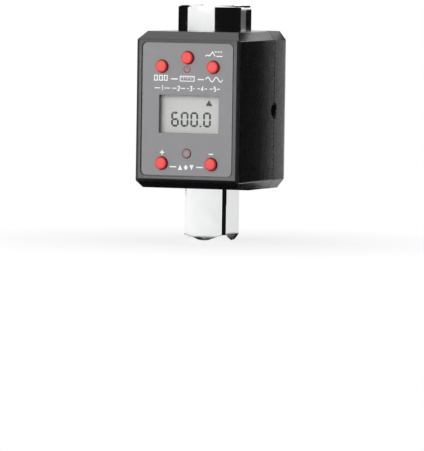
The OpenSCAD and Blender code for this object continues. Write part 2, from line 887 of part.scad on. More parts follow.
// Room for the keys' flanges where a boss or rib comes near
module key_flange_rooms() {
    for (key = KEYS) {
        bar_y(key_r + flange_out + key_gap, inner_face_y, board_y, key);
    }
}

// The battery bay's walls inside the rear housing
module bay_walls() {
    x = bay_x + bay_wall;
    block([-x, bay_floor_y - bay_wall, bay_z - bay_wall], [x, door_y, bay_top_z + bay_wall]);
    slab(door_y - ledge_t, door_y) translate([0, mid_z])
        round_rect(door_w + 2 * ledge_w, door_h + 2 * ledge_w, door_r + ledge_w);
    for (z = door_screw_zs) bar_y(door_boss_r, bay_floor_y - bay_wall, door_y, [0, z]);
}

module bay_space() {
    for (x = [-cell_pitch / 2, cell_pitch / 2]) {
        translate([x, cell_y, bay_z]) cylinder(h = bay_len, r = cell_r + cell_gap);
    }
    block([-bay_x, cell_y, bay_z], [bay_x, back_y + overrun, bay_top_z]);
    slab(door_y, back_y + overrun) translate([0, mid_z])
        round_rect(door_w + 2 * door_gap, door_h + 2 * door_gap, door_r + door_gap);
    for (z = door_screw_zs) {
        bar_y(small_shank_r + pin_gap, door_y - door_screw_len, door_y + overrun, [0, z]);
    }
    // Room for the upper plate, which joins both batteries
    block([-cell_pitch / 2 - plate_w / 2 - fit_gap, cell_y - plate_w / 2 - fit_gap,
            bay_top_z - plate_t - fit_gap],
        [cell_pitch / 2 + plate_w / 2 + fit_gap, cell_y + plate_w / 2, bay_top_z]);
    // Slots for the tabs of the two lower plates
    for (x = [-cell_pitch / 2, cell_pitch / 2]) {
        block([x - tab_w / 2 - fit_gap, bay_floor_y - bay_wall - overrun, bay_z],
            [x + tab_w / 2 + fit_gap, cell_y, bay_z + plate_t + fit_gap]);
    }
}

// A rib and a block at the side wall that hold the jack, notched round its body
module jack_cradle() {
    half_h = jack_h / 2 + pin_gap;
    difference() {
        for (span = cradle_spans) {
            block([span[0], part_y + pin_gap, port_z - half_h - cradle_arm],
                [span[1], bay_floor_y, port_z + half_h + cradle_arm]);
        }
        block([-half_w, part_y - overrun, port_z - half_h],
            [half_w, part_y + jack_w / 2, port_z + half_h]);
    }
}

module rear_housing() {
    color([0.20, 0.20, 0.22])
    difference() {
        union() {
            difference() {
                rear_form(0, part_y);
                rear_form(wall, part_y - overrun);
                difference() {
                    slab(part_y - overrun, part_groove_y) end_outline(-overrun);
                    slab(part_y - 2 * overrun, part_groove_y + overrun)
                        end_outline(part_groove);
                }
            }
            difference() {
                slab(tongue_y, part_y + wall) end_outline(tongue_in);
                slab(tongue_y - overrun, part_y + wall + overrun) end_outline(wall);
            }
            intersection() {
                rear_form(wall / 4, part_y);
                union() {
                    shaft_seats();
                    bay_walls();
                    jack_cradle();
                }
            }
            case_screw_places()
                bar_y(case_column_r, part_y, back_y - wall + case_column_sunk);
            screw_webs(part_y, corner_y);
        }
        shaft_ways();
        port_way();
        bay_space();
        case_screw_places() bar_y(shank_r + fit_gap, part_y - overrun, case_seat_y);
        case_screw_places() bar_y(case_sink_r, case_seat_y, back_y + overrun);
    }
}

module housing_screws() {
    color([0.25, 0.25, 0.27])
    for (x = [-case_screw_x, case_screw_x], z = [case_screw_low_z, case_screw_high_z]) {
        screw_y(shank_r, screw_head_r, screw_head_h, case_seat_y - case_pilot_y - overrun,
            case_seat_y + screw_head_h, [x, z]);
    }
}

module face_label() {
    color([0.58, 0.58, 0.60])
    difference() {
        slab(label_y, recess_y) translate([0, label_mid_z]) round_rect(label_w, label_h, label_r);
        block([view_low_x, face_y, view_z - view_h / 2],
            [view_high_x, recess_y + overrun, view_z + view_h / 2]);
        for (key = KEYS) bar_y(key_r + key_gap, label_y - overrun, recess_y + overrun, key);
        bar_y(lens_r + lens_gap, label_y - overrun, recess_y + overrun, [0, lens_z]);
    }
}

module display_window() {
    color([0.8, 0.85, 0.85, 0.4])
    block([view_low_x - pane_margin, inner_face_y, view_z - view_h / 2 - pane_margin],
        [view_high_x + pane_margin, pane_y, view_z + view_h / 2 + pane_margin]);
}

// Two glass plates, the rear one longer at the bottom where the strips touch it
module display_cell() {
    color([0.72, 0.73, 0.71])
    translate([view_shift, 0, 0]) {
        block([-lcd_w / 2, lcd_y, view_z - lcd_h / 2 + lcd_ledge],
            [lcd_w / 2, lcd_y + lcd_plate_t, view_z + lcd_h / 2]);
        block([-lcd_w / 2, lcd_y + lcd_plate_t, view_z - lcd_h / 2],
            [lcd_w / 2, lcd_y + 2 * lcd_plate_t, view_z + lcd_h / 2]);
    }
}

module display_frame() {
    x = lcd_w / 2 + frame_gap;
    z = lcd_h / 2 + frame_gap;
    color([0.1, 0.1, 0.1])
    translate([view_shift, 0, 0]) difference() {
        block([-x - frame_wall, pane_y, view_z - z - frame_wall],
            [x + frame_wall, board_y, view_z + z + frame_wall]);
        block([-x, lcd_y, view_z - z], [x, board_y + overrun, view_z + z]);
        block([-x + lcd_side / 2, pane_y - overrun, view_z - z + lcd_side / 2],
            [x - lcd_side / 2, board_y, view_z + z - lcd_side / 2]);
    }
}

module contact_strips() {
    back = lcd_y + 2 * lcd_plate_t;
    x = lcd_w / 2 - strip_w / 2;
    color([0.9, 0.6, 0.6])
    for (side = [-1, 1]) {
        translate([view_shift, 0, view_z + side * (lcd_h / 2 - strip_w)])
            block([-x, back, -strip_w / 2], [x, board_y, strip_w / 2]);
    }
}

module main_board() {
    color([0.05, 0.35, 0.18])
    difference() {
        block([-board_w / 2, board_y, board_bottom_z], [board_w / 2, board_back_y, board_top_z]);
        board_screw_places() bar_y(small_shank_r + fit_gap, board_y - overrun,
            board_back_y + overrun);
    }
}

module board_screws() {
    color([0.6, 0.6, 0.62])
    for (x = [-board_screw_x, board_screw_x], z = [board_screw_low_z, board_screw_high_z]) {
        screw_y(small_shank_r, small_head_r, small_head_h, board_t + board_y - inner_face_y
            - overrun, board_back_y + small_head_h, [x, z]);
    }
}

module key_switches() {
    color([0.12, 0.12, 0.13])
    for (key = KEYS) {
        difference() {
            block([key[0] - switch_w / 2, switch_y, key[1] - switch_w / 2],
                [key[0] + switch_w / 2, board_y, key[1] + switch_w / 2]);
            bar_y(stem_r + switch_hole_gap, switch_y - overrun,
                switch_y + plunger_in + key_travel + 2 * fit_gap, key);
        }
    }
}

// A round key: a cap with a rounded front edge, a flange behind the wall and a stem
module key_cap(place) {
    color([0.90, 0.20, 0.18])
    union() {
        translate([place[0], key_front_y, place[1]]) rotate([-90, 0, 0]) rotate_extrude() {
            translate([0, key_round]) square([key_r, flange_y - key_front_y - key_round]);
            square([key_r - key_round, key_round + fit_gap]);
            intersection() {
                translate([key_r - key_round, key_round]) circle(key_round);
                square([key_r, 2 * key_round]);
            }
        }
        bar_y(key_r + flange_out, flange_y, flange_y + flange_t, place);
        bar_y(stem_r, flange_y, stem_y, place);
    }
}

module switch_plunger(place) {
    color([0.75, 0.75, 0.72])
    bar_y(stem_r, stem_y, switch_y + plunger_in, place);
}

module key_memory() { key_cap(MEMORY); }
module key_unit() { key_cap(UNIT); }
module key_peak() { key_cap(PEAK); }
module key_plus() { key_cap(PLUS); }
module key_minus() { key_cap(MINUS); }
module plunger_memory() { switch_plunger(MEMORY); }
module plunger_unit() { switch_plunger(UNIT); }
module plunger_peak() { switch_plunger(PEAK); }
module plunger_plus() { switch_plunger(PLUS); }
module plunger_minus() { switch_plunger(MINUS); }

module indicator_lens() {
    front = label_y - lens_proud;
    color([0.68, 0.58, 0.60])
    union() {
        translate([0, front, lens_z]) rotate([-90, 0, 0]) rotate_extrude() {
            translate([0, lens_proud]) square([lens_r, inner_face_y - front - lens_proud]);
            square([lens_r - lens_proud, 2 * lens_proud]);
            intersection() {
                translate([lens_r - lens_proud, lens_proud]) circle(lens_proud);
                square([lens_r, 2 * lens_proud]);
            }
        }
        bar_y(lens_r + lens_flange, inner_face_y, inner_face_y + lens_flange_t, [0, lens_z]);
    }
}

module indicator_lamp() {
    front = inner_face_y + lens_flange_t + fit_gap;
    color([0.85, 0.75, 0.75])
    union() {
        translate([0, front + lamp_r, lens_z]) sphere(lamp_r);
        bar_y(lamp_r, front + lamp_r, board_y, [0, lens_z]);
        bar_y(lamp_base_r, board_y - lamp_base_t, board_y, [0, lens_z]);
    }
}

module processor() {
    color([0.06, 0.06, 0.06])
    block([-processor_w / 2, board_back_y, processor_z - processor_w / 2],
        [processor_w / 2, board_back_y + processor_t, processor_z + processor_w / 2]);
}

module amplifier() {
    color([0.06, 0.06, 0.06])
    block([-side_part_x - amplifier_w / 2, board_back_y, side_part_z - amplifier_w / 2],
        [-side_part_x + amplifier_w / 2, board_back_y + amplifier_t,
            side_part_z + amplifier_w / 2]);
}

module buzzer() {
    color([0.1, 0.1, 0.1])
    difference() {
        bar_y(buzzer_r, board_back_y, board_back_y + buzzer_t, [side_part_x, side_part_z]);
        bar_y(buzzer_hole_r, board_back_y + board_t, board_back_y + buzzer_t + overrun,
            [side_part_x, side_part_z]);
    }
}

module data_jack() {
    color([0.07, 0.07, 0.07])
    difference() {
        block([jack_x - jack_len, part_y - jack_w / 2, port_z - jack_h / 2],
            [jack_x, part_y + jack_w / 2, port_z + jack_h / 2]);
        bar_x(port_r, jack_x - port_len, jack_x + overrun, [part_y, port_z]);
    }
}

module battery_door() {
    color([0.20, 0.20, 0.22])
    difference() {
        union() {
            slab(door_y, back_y) translate([0, mid_z]) round_rect(door_w, door_h, door_r);
            for (x = [-cell_pitch / 2, cell_pitch / 2]) {
                block([x - rib_w / 2, door_y - rib_h, bay_z + plate_w],
                    [x + rib_w / 2, door_y + door_t / 2, bay_top_z - plate_w]);
            }
        }
        for (z = door_screw_zs) {
            bar_y(small_shank_r + fit_gap, door_y - overrun, back_y + overrun, [0, z]);
            bar_y(door_sink_r, back_y - door_sink_depth, back_y + overrun, [0, z]);
        }
    }
}

module door_screws() {
    color([0.6, 0.6, 0.62])
    for (z = door_screw_zs) {
        screw_y(small_shank_r, small_head_r, small_head_h, door_screw_len - door_t,
            back_y - door_sink_depth + small_head_h, [0, z]);
    }
}

// One battery standing on z, its nub on top
module battery() {
    cylinder(h = cell_len, r = cell_r);
    translate([0, 0, cell_len - overrun]) cylinder(h = nub_h + overrun, r = nub_r);
}

module batteries() {
    color([0.25, 0.35, 0.45]) {
        translate([-cell_pitch / 2, cell_y, bay_z + plate_t + spring_h]) battery();
        translate([cell_pitch / 2, cell_y, bay_top_z - plate_t - spring_h]) mirror([0, 0, 1])
            battery();
    }
}

module battery_spring() {
    tube(coil(spring_low_r, spring_high_r, spring_turns, plate_t + spring_wire_r,
        plate_t + spring_h - spring_wire_r, 16), spring_wire_r, 6);
}

module battery_springs() {
    color([0.7, 0.71, 0.73]) {
        translate([-cell_pitch / 2, cell_y, bay_z]) battery_spring();
        translate([cell_pitch / 2, cell_y, bay_top_z]) mirror([0, 0, 1]) battery_spring();
    }
}

module battery_plates() {
    half = plate_w / 2;
    color([0.7, 0.71, 0.73]) {
        block([-cell_pitch / 2 - half, cell_y - half, bay_top_z - plate_t],
            [cell_pitch / 2 + half, cell_y + half, bay_top_z]);
        for (x = [-cell_pitch / 2, cell_pitch / 2]) {
            block([x - half, cell_y - half, bay_z], [x + half, cell_y + half, bay_z + plate_t]);
            block([x - tab_w / 2, bay_floor_y - bay_wall - tab_len, bay_z],
                [x + tab_w / 2, cell_y, bay_z + plate_t]);
        }
    }
}

module gauge_wires() {
    color([0.85, 0.85, 0.85]) {
        wire(front_gauge_route);
        wire(rear_gauge_route);
    }
}

module power_wires() {
    color([0.75, 0.1, 0.1]) {
        wire(power_wire_route);
        wire([for (p = power_wire_route) [-p[0], p[1], p[2]]]);
    }
}

module port_wires() {
    color([0.1, 0.1, 0.12])
    wire(port_wire_route);
}

torque_shaft();
strain_gauges();
detent_ball();
detent_spring();
upper_seal();
lower_seal();
retaining_fork();
fork_screws();
front_housing();
rear_housing();
housing_screws();
face_label();
display_window();
display_cell();
display_frame();
contact_strips();
main_board();
board_screws();
key_switches();
key_memory();
key_unit();
key_peak();
key_plus();
key_minus();
plunger_memory();
plunger_unit();
plunger_peak();
plunger_plus();
plunger_minus();
indicator_lens();
indicator_lamp();
processor();
amplifier();
buzzer();
data_jack();
battery_door();
door_screws();
batteries();
battery_springs();
battery_plates();
gauge_wires();
power_wires();
port_wires();
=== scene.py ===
import math

import bmesh
import bpy
from mathutils import Matrix, Vector


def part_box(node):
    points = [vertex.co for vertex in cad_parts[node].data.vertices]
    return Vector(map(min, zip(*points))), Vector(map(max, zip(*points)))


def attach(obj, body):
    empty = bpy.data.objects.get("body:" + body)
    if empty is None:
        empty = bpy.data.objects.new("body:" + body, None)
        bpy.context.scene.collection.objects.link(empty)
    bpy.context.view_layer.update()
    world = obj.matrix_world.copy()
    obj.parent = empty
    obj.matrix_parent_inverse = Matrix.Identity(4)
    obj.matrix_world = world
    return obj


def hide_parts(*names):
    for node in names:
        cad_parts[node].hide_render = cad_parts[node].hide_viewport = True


bl_info = {
    "name": "Digital torque adapter",
    "version": (1, 0, 0),
    "blender": (4, 5, 0),
    "location": "3D View > Sidebar > Torque adapter",
    "description": "Finishes, printed marks, display and screws of a digital torque adapter",
    "category": "Object",
}

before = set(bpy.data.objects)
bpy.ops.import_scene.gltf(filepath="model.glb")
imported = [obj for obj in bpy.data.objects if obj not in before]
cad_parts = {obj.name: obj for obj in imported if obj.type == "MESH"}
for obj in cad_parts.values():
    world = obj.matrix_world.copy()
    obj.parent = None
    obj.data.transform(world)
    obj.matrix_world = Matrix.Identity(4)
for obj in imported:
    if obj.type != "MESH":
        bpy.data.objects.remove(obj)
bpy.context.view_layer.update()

MM = 0.001
LABEL_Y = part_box("face_label")[0].y
DISPLAY_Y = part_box("display_cell")[0].y
KEY_NODES = ("key_memory", "key_unit", "key_peak", "key_plus", "key_minus")
PLUNGER_NODES = tuple(name.replace("key", "plunger") for name in KEY_NODES)
SAME_PLACE, SAME_PLANE = 0.001 * MM, math.radians(0.6)
CRISP = math.radians(25)  # an edge that bends more than this is rounded
CORNER_REACH = 4.5 * MM  # how far from its box's sides a housing's long edge lies
LONG_EDGE = 5 * MM
SCREW_CRISP = math.radians(40)
SHARPEST_MITRE = 0.35  # past this, a line's sharp corner isn't drawn out further
MOSTLY = 0.9  # share of an edge's length that runs along an axis, for it to count as along it
LONG_ENOUGH = 2.5  # an edge shorter than this many roundings stays crisp
FLAT_WIDTH = 2.5 * MM  # a face narrower than this belongs to a curve and is shaded smooth
FINISHES = {}


# Settings that a user would change

def colour_setting(name, about, *value):
    return bpy.props.FloatVectorProperty(name=name, description=about, subtype="COLOR",
                                         size=3, min=0, max=1, default=value)


def length_setting(name, about, low, high, value):
    """A length on the adapter, its limits and value in millimetres."""
    return bpy.props.FloatProperty(name=name, description=about, subtype="DISTANCE",
                                   unit="LENGTH", min=low * MM, max=high * MM,
                                   default=value * MM)


def distance_setting(name, about, low, value):
    """A distance in the studio, in metres."""
    return bpy.props.FloatProperty(name=name, description=about, subtype="DISTANCE",
                                   unit="LENGTH", min=low, default=value)


def angle_setting(name, about, degrees):
    return bpy.props.FloatProperty(name=name, description=about, subtype="ANGLE",
                                   unit="ROTATION", default=math.radians(degrees))


def share_setting(name, about, low, high, value):
    return bpy.props.FloatProperty(name=name, description=about, subtype="FACTOR",
                                   min=low, max=high, default=value)


class FinishSettings(bpy.types.PropertyGroup):
    """Colours and grain of the adapter's finishes."""
    housing: colour_setting("Housing", "Colour of the front housing", 0.0050, 0.0050, 0.0064)
    housing_back: colour_setting(
        "Rear housing", "Colour of the rear housing and the battery door",
        0.0095, 0.0095, 0.0115)
    key: colour_setting("Keys", "Colour of the five keys", 0.80, 0.045, 0.035)
    # painted shade: a darker red given to the keys' sides, standing in for their shade
    key_painted_shade: colour_setting("Key skirts", "Colour of the keys' sides", 0.36, 0.010, 0.012)
    label: colour_setting("Label", "Colour of the label's film", 0.205, 0.206, 0.213)
    ink: colour_setting("Ink", "Colour of the printed marks", 0.82, 0.83, 0.84)
    display: colour_setting("Display", "Colour of the display behind the digits",
                            0.50, 0.505, 0.49)
    digit: colour_setting("Digits", "Colour of the display's digits", 0.016, 0.020, 0.016)
    grain: length_setting("Grain", "Size of the grain that the housing's mould leaves",
                          0.05, 1, 0.22)
    grain_depth: length_setting("Grain depth", "Depth of that grain", 0, 0.05, 0.003)


class EdgeSettings(bpy.types.PropertyGroup):
    """Width of the rounding on the edges of the turned and moulded pieces."""
    shaft: length_setting("Shaft", "Width of the rounding on the shaft's edges",
                          0.02, 0.5, 0.22)
    housing: length_setting("Housings", "Width of the rounding on the housings' edges",
                            0.02, 0.5, 0.16)
    long_edges: length_setting(
        "Long edges", "Width of the rounding on the housings' long outer edges", 0.1, 2, 1.3)
    door: length_setting("Door", "Width of the rounding on the door's edges", 0.02, 0.4, 0.18)
    label: length_setting("Label", "Width of the rounding on the label's edges",
                          0.01, 0.2, 0.06)


class MarkSettings(bpy.types.PropertyGroup):
    """The marks printed on the label and the reading on the display."""
    ink_height: length_setting("Ink height", "How far the ink stands on the label",
                               0.005, 0.05, 0.02)
    ink_width: length_setting("Line width", "Width of the printed lines", 0.1, 0.6, 0.34)
    reading: bpy.props.StringProperty(
        name="Reading", description="Digits and point that the display shows",
        default="600.0")
    digit_w: length_setting("Digit width", "Width of one digit", 1, 6, 3.55)
    digit_h: length_setting("Digit height", "Height of one digit", 2, 10, 6.4)
    digit_line: length_setting("Segment width", "Width of one segment of a digit",
                               0.2, 1, 0.90)


class ScrewSettings(bpy.types.PropertyGroup):
    """Shape of the socket screws."""
    socket_share: share_setting("Socket", "Width of the hexagon as a share of the head",
                                0.3, 0.7, 0.5)
    pitch: length_setting("Pitch", "Distance between two turns of the thread", 0.2, 1, 0.45)
    seed: bpy.props.IntProperty(
        name="Seed", description="Seed of the angle that each screw came to rest at",
        min=0, default=7)


class StudioSettings(bpy.types.PropertyGroup):
    """Lamp, world and camera."""
    lamp_side: angle_setting("Lamp's side", "Angle of the large lamp from the face", -10)
    lamp_rise: angle_setting("Lamp's rise", "Angle of the large lamp above the table", 11)
    lamp_far: distance_setting("Lamp's distance", "Distance of the large lamp", 0.3, 1.25)
    lamp_size: distance_setting("Lamp's size", "Width and height of the large lamp", 0.1, 1.1)
    lamp_power: bpy.props.FloatProperty(
        name="Lamp's power", description="Power of the large lamp",
        subtype="POWER", unit="POWER", min=0, default=14.6)
    ambient: share_setting("Ambient", "Strength of the light from all round", 0, 1, 0.46)
    floor_glow: share_setting(
        "Floor's glow", "Share of the floor's white at the adapter's foot", 0, 1, 0.80)
    camera_side: angle_setting("Camera's side", "Angle of the camera from the face", 20.17)
    camera_rise: angle_setting("Camera's rise", "Angle of the camera above the table", 2.89)
    camera_roll: angle_setting(
        "Camera's roll", "Angle that the camera is turned about its view", 0.83)
    camera_far: distance_setting("Camera's distance", "Distance of the camera", 0.3, 2.57931)


# Finishes

def add_node(tree, kind, inputs=None, **fields):
    """A new node with those fields. Its inputs are set to values or joined to sockets."""
    node = tree.nodes.new(kind)
    for field, value in fields.items():
        setattr(node, field, value)
    for name, value in (inputs or {}).items():
        if isinstance(value, bpy.types.NodeSocket):
            tree.links.new(value, node.inputs[name])
        else:
            node.inputs[name].default_value = value
    return node


def maths(tree, operation, first, second):
    """What a Math node makes of two sockets."""
    return add_node(tree, "ShaderNodeMath", {0: first, 1: second},
                    operation=operation).outputs["Value"]


class Finish:
    """A material being made: its shader, and short ways to lay nodes before it."""

    def __init__(self, name, colour, roughness, metallic=0.0):
        self.material = bpy.data.materials.new(name)
        self.material.use_nodes = True
        self.tree = self.material.node_tree
        self.tree.nodes.clear()
        self.shader = self.node("BsdfPrincipled", {
            "Base Color": (*colour, 1), "Roughness": roughness, "Metallic": metallic})
        self.out = self.node("OutputMaterial", {"Surface": self.shader.outputs["BSDF"]})
        self.place = self.node("TexCoord").outputs["Object"]

    def node(self, kind, inputs=None, **fields):
        return add_node(self.tree, "ShaderNode" + kind, inputs, **fields)

    def set(self, name, value):
        self.shader.inputs[name].default_value = value

    def join(self, source, name):
        self.tree.links.new(source, self.shader.inputs[name])

    def stretched(self, x, y, z):
        """The place on the piece, stretched so that a pattern turns into lines."""
        return self.node("Mapping", {"Vector": self.place, "Scale": (x, y, z)}).outputs[0]

    def noise(self, size, detail=3.0, place=None):
        """Soft noise whose features are about size across."""
        return self.node("TexNoise", {"Vector": place or self.place, "Scale": 1 / size,
                                      "Detail": detail}).outputs["Fac"]

    def cells(self, size):
        """Distance to the nearest of the points that lie about size apart."""
        return self.node("TexVoronoi", {"Vector": self.place,
                                        "Scale": 1 / size}).outputs["Distance"]

    def bands(self, axis, size):
        """Even bands across one axis, size apart."""
        return self.node("TexWave", {"Vector": self.place, "Scale": 0.314 / size},
                         bands_direction=axis).outputs["Fac"]

    def axis(self, name):
        """One coordinate of the place on the piece."""
        return self.node("SeparateXYZ", {"Vector": self.place}).outputs[name]

    def away(self, point):
        """Distance from a point, in metres."""
        return self.node("VectorMath", {0: self.place, 1: point},
                         operation="DISTANCE").outputs["Value"]

    def between(self, source, low, high, start=0.0, end=1.0):
        """source from start to end, turned into low to high."""
        return self.node("MapRange", {"Value": source, "From Min": start, "From Max": end,
                                      "To Min": low, "To Max": high}).outputs["Result"]

    def colours(self, source, *stops, sharp=False):
        """Colours along source, from (place, colour) pairs."""
        node = self.node("ValToRGB", {"Fac": source})
        ramp = node.color_ramp
        if sharp:
            ramp.interpolation = "CONSTANT"
        while len(ramp.elements) < len(stops):
            ramp.elements.new(1.0)
        for element, (place, colour) in zip(ramp.elements, stops):
            element.position = place
            element.color = (*colour, 1)
        return node.outputs["Color"]

    def shades(self, source, colour, dark, light, start=0.3, end=0.7):
        """colour made darker to lighter along source."""
        return self.colours(source, (start, tinted(colour, dark)), (end, tinted(colour, light)))

    def mixed(self, share, first, second):
        """first where share is 0 and second where it is 1."""
        return self.node("Mix", {"Factor": share, "A": first, "B": second},
                         data_type="RGBA").outputs["Result"]

    def paint(self, colour):
        self.join(colour, "Base Color")

    def dull(self, source, low, high, start=0.3, end=0.7):
        """Roughness from low to high where source goes from start to end."""
        self.join(self.between(source, low, high, start, end), "Roughness")

    def scatter(self, weight, radius, scale):
        """Lets light into the material."""
        self.set("Subsurface Weight", weight)
        self.set("Subsurface Radius", radius)
        self.set("Subsurface Scale", scale)

    def bump(self, height, depth, strength=1.0, under=None):
        """Raises the surface by depth where height is 1, over the bump that is under it."""
        inputs = {"Strength": strength, "Distance": depth, "Height": height}
        if under:
            inputs["Normal"] = under
        normal = self.node("Bump", inputs).outputs["Normal"]
        self.join(normal, "Normal")
        return normal


def tinted(colour, factor):
    """colour made lighter or darker by a factor."""
    return tuple(min(1.0, c * factor) for c in colour)


def moulded(name, colour, roughness, grain, depth, spread=0.12, gloss=0.5, handled=None):
    """Spark-eroded mould grain on a plastic, with slight flow marks. handled gives its
    roughness along Y, in metres, where hands have rubbed it smoother."""
    f = Finish(name, colour, roughness)
    flow = f.noise(9 * MM, 2.0, f.stretched(1, 1, 0.5))
    f.paint(f.shades(flow, colour, 1 - spread, 1 + spread))
    rub = f.noise(2.5 * MM)
    if handled:
        start, end = handled[0][0], handled[-1][0]
        along = f.colours(f.between(f.axis("Y"), 0.0, 1.0, start, end),
                          *(((y - start) / (end - start), (r, r, r)) for y, r in handled))
        rubbed = maths(f.tree, "ADD", along, f.between(rub, -0.03, 0.04, 0.3, 0.7))
        f.join(rubbed, "Roughness")
    else:
        f.dull(rub, roughness - 0.05, roughness + 0.06)
    waves = f.bump(f.noise(14 * MM, 1.0), 0.03 * MM, 0.4)
    f.bump(f.noise(grain, 2.0), depth, 1.0, waves)
    f.set("Specular IOR Level", gloss)
    return f.material


def chrome(name, colour, line, roughness):
    """Plated steel: turning lines round the axis, clouded by handling."""
    f = Finish(name, colour, roughness, 1.0)
    smudge = f.noise(6 * MM, 4.0)
    f.paint(f.shades(smudge, colour, 0.97, 1.0, 0.3, 0.75))
    f.dull(smudge, roughness * 0.7, roughness * 1.7, 0.35, 0.75)
    turned = f.noise(line, 2.0, f.stretched(0.02, 0.02, 1.0))
    waves = f.bump(f.noise(7 * MM, 1.0), 0.02 * MM, 0.6)
    f.bump(turned, 0.0012 * MM, 1.0, waves)
    return f.material


def worked(name, colour, roughness, metallic, shade, dull, bump, stretch=(1, 1, 1)):
    """A finish with noise in its colour, roughness and height. Each is given by the noise's
    size, in millimetres, and detail, and then by what the noise does: shade by how dark and
    light it makes the colour, dull by two roughnesses, both with the span of noise where the
    change lies, and bump by its depth in millimetres."""
    f = Finish(name, colour, roughness, metallic)
    place = f.stretched(*stretch)

    def noise(size, detail):
        return f.noise(size * MM, detail, place)

    f.paint(f.shades(noise(*shade[:2]), colour, *shade[2:]))
    f.dull(noise(*dull[:2]), *dull[2:])
    f.bump(noise(*bump[:2]), bump[2] * MM)
    return f.material


def ground(name, colour, roughness, *stretch):
    """Ground or rolled steel with fine scratches in one direction."""
    return worked(name, colour, roughness, 1.0, (0.12, 3, 0.82, 1.1, 0.25, 0.8),
                  (0.12, 3, roughness - 0.08, roughness + 0.12, 0.25, 0.8),
                  (0.12, 3, 0.004), stretch)


def blacked(name, colour):
    """Blacked screw steel, worn a little bright."""
    return worked(name, colour, 0.42, 0.85, (0.6, 4, 1.0, 2.6, 0.45, 0.8),
                  (0.6, 4, 0.5, 0.3, 0.3, 0.8), (0.15, 3, 0.004))


def drawn(name, colour):
    """Drawn spring wire with faint die marks."""
    return worked(name, colour, 0.24, 1.0, (0.18, 3, 0.8, 1.08, 0.3, 0.75),
                  (0.18, 3, 0.18, 0.34), (0.18, 3, 0.003))


def rubber(name, colour):
    """Soft seal rubber with a bloom of dust."""
    return worked(name, colour, 0.75, 0.0, (0.8, 4, 1.0, 2.2, 0.4, 0.85),
                  (0.5, 3, 0.65, 0.85), (0.2, 3, 0.008))


def insulation(name, colour):
    """Wire insulation, slightly rippled where it was drawn."""
    return worked(name, colour, 0.38, 0.0, (0.7, 2, 0.88, 1.05), (0.7, 2, 0.32, 0.46),
                  (0.7, 2, 0.01))


def film(name, colour):
    """Printed polycarbonate film with a fine velvet texture."""
    f = Finish(name, colour, 0.46)
    f.paint(f.shades(f.noise(0.35 * MM), colour, 0.93, 1.05))
    f.dull(f.noise(3 * MM), 0.42, 0.52)
    f.bump(f.cells(0.16 * MM), 0.005 * MM)
    return f.material


def printed(name, colour, roughness=0.5, gloss=0.5):
    """Screen-printed ink with a slightly uneven cover."""
    f = Finish(name, colour, roughness)
    f.set("Specular IOR Level", gloss)
    f.paint(f.shades(f.noise(0.25 * MM), colour, 0.9, 1.0, 0.3, 0.6))
    f.bump(f.noise(0.1 * MM), 0.003 * MM)
    return f.material


def liquid_crystal(name, colour):
    """The reflecting back of a display cell: fine speckle under flat glass."""
    f = Finish(name, colour, 0.38)
    speckle = f.noise(0.14 * MM, 2.0)
    f.paint(f.mixed(f.between(f.noise(9 * MM, 1.0), 0.0, 0.5, 0.3, 0.7),
                    f.shades(speckle, colour, 0.96, 1.03),
                    f.shades(speckle, colour, 0.90, 0.97)))
    f.set("Specular IOR Level", 0.4)
    return f.material


def clear(name, colour, roughness, alpha):
    """A clear pane with faint streaks from its moulding."""
    f = Finish(name, colour, roughness)
    f.dull(f.noise(5 * MM, 2.0), roughness, roughness + 0.04)
    f.set("Alpha", alpha)
    f.set("IOR", 1.49)
    return f.material


def milky(name, colour, rim, centre):
    """Diffusing lens: pale in the middle, darker and redder towards its rim."""
    f = Finish(name, colour, 0.3)
    cloud = f.noise(0.9 * MM)
    f.paint(f.mixed(f.between(f.away(centre), 0.0, 1.0, 0.5 * MM, 2.2 * MM),
                    f.shades(cloud, colour, 0.93, 1.06), f.shades(cloud, rim, 0.9, 1.1)))
    f.scatter(0.35, (1.0, 0.5, 0.5), 0.8 * MM)
    f.bump(f.noise(0.3 * MM), 0.004 * MM)
    return f.material


def key_plastic(name, colour, painted_shade, top):
    """Satin plastic keys whose tops are polished by fingers; painted shade darkens their
    skirts, behind the tops, to stand in for the shade on the keys' sides.
    """
    f = Finish(name, colour, 0.42)
    rub = f.noise(1.8 * MM)
    # painted shade: behind the key tops the colour turns to a darker red on the skirts
    f.paint(f.mixed(f.between(f.axis("Y"), 0.0, 1.0, top + 0.25 * MM, top + 0.8 * MM),
                    f.shades(rub, colour, 0.93, 1.04), f.shades(rub, painted_shade, 0.93, 1.04)))
    f.dull(rub, 0.34, 0.5)
    f.scatter(0.12, (1.0, 0.25, 0.2), 0.9 * MM)
    f.bump(f.noise(0.16 * MM, 2.0), 0.006 * MM)
    return f.material


def striped(name, base, roughness, size, first, second, smooth):
    """Fine raised bands across X, from (place, colour) to (place, colour) between them."""
    f = Finish(name, base, roughness)
    bands = f.bands("X", size)
    f.paint(f.colours(bands, (0.0, first[1]), first, second, (1.0, second[1])))
    f.dull(bands, *smooth, 0.0, 1.0)
    f.bump(bands, 0.01 * MM)
    return f.material


def striped_rubber(name, dark, pale):
    """Contact rubber: conducting layers between insulating ones."""
    return striped(name, pale, 0.6, 0.25 * MM, (0.5, dark), (0.56, pale), (0.5, 0.7))


def gauge_foil(name, film_colour, foil_colour):
    """Strain gauge: fine foil loops on amber film."""
    return striped(name, film_colour, 0.35, 0.45 * MM, (0.45, film_colour),
                   (0.5, foil_colour), (0.4, 0.25))


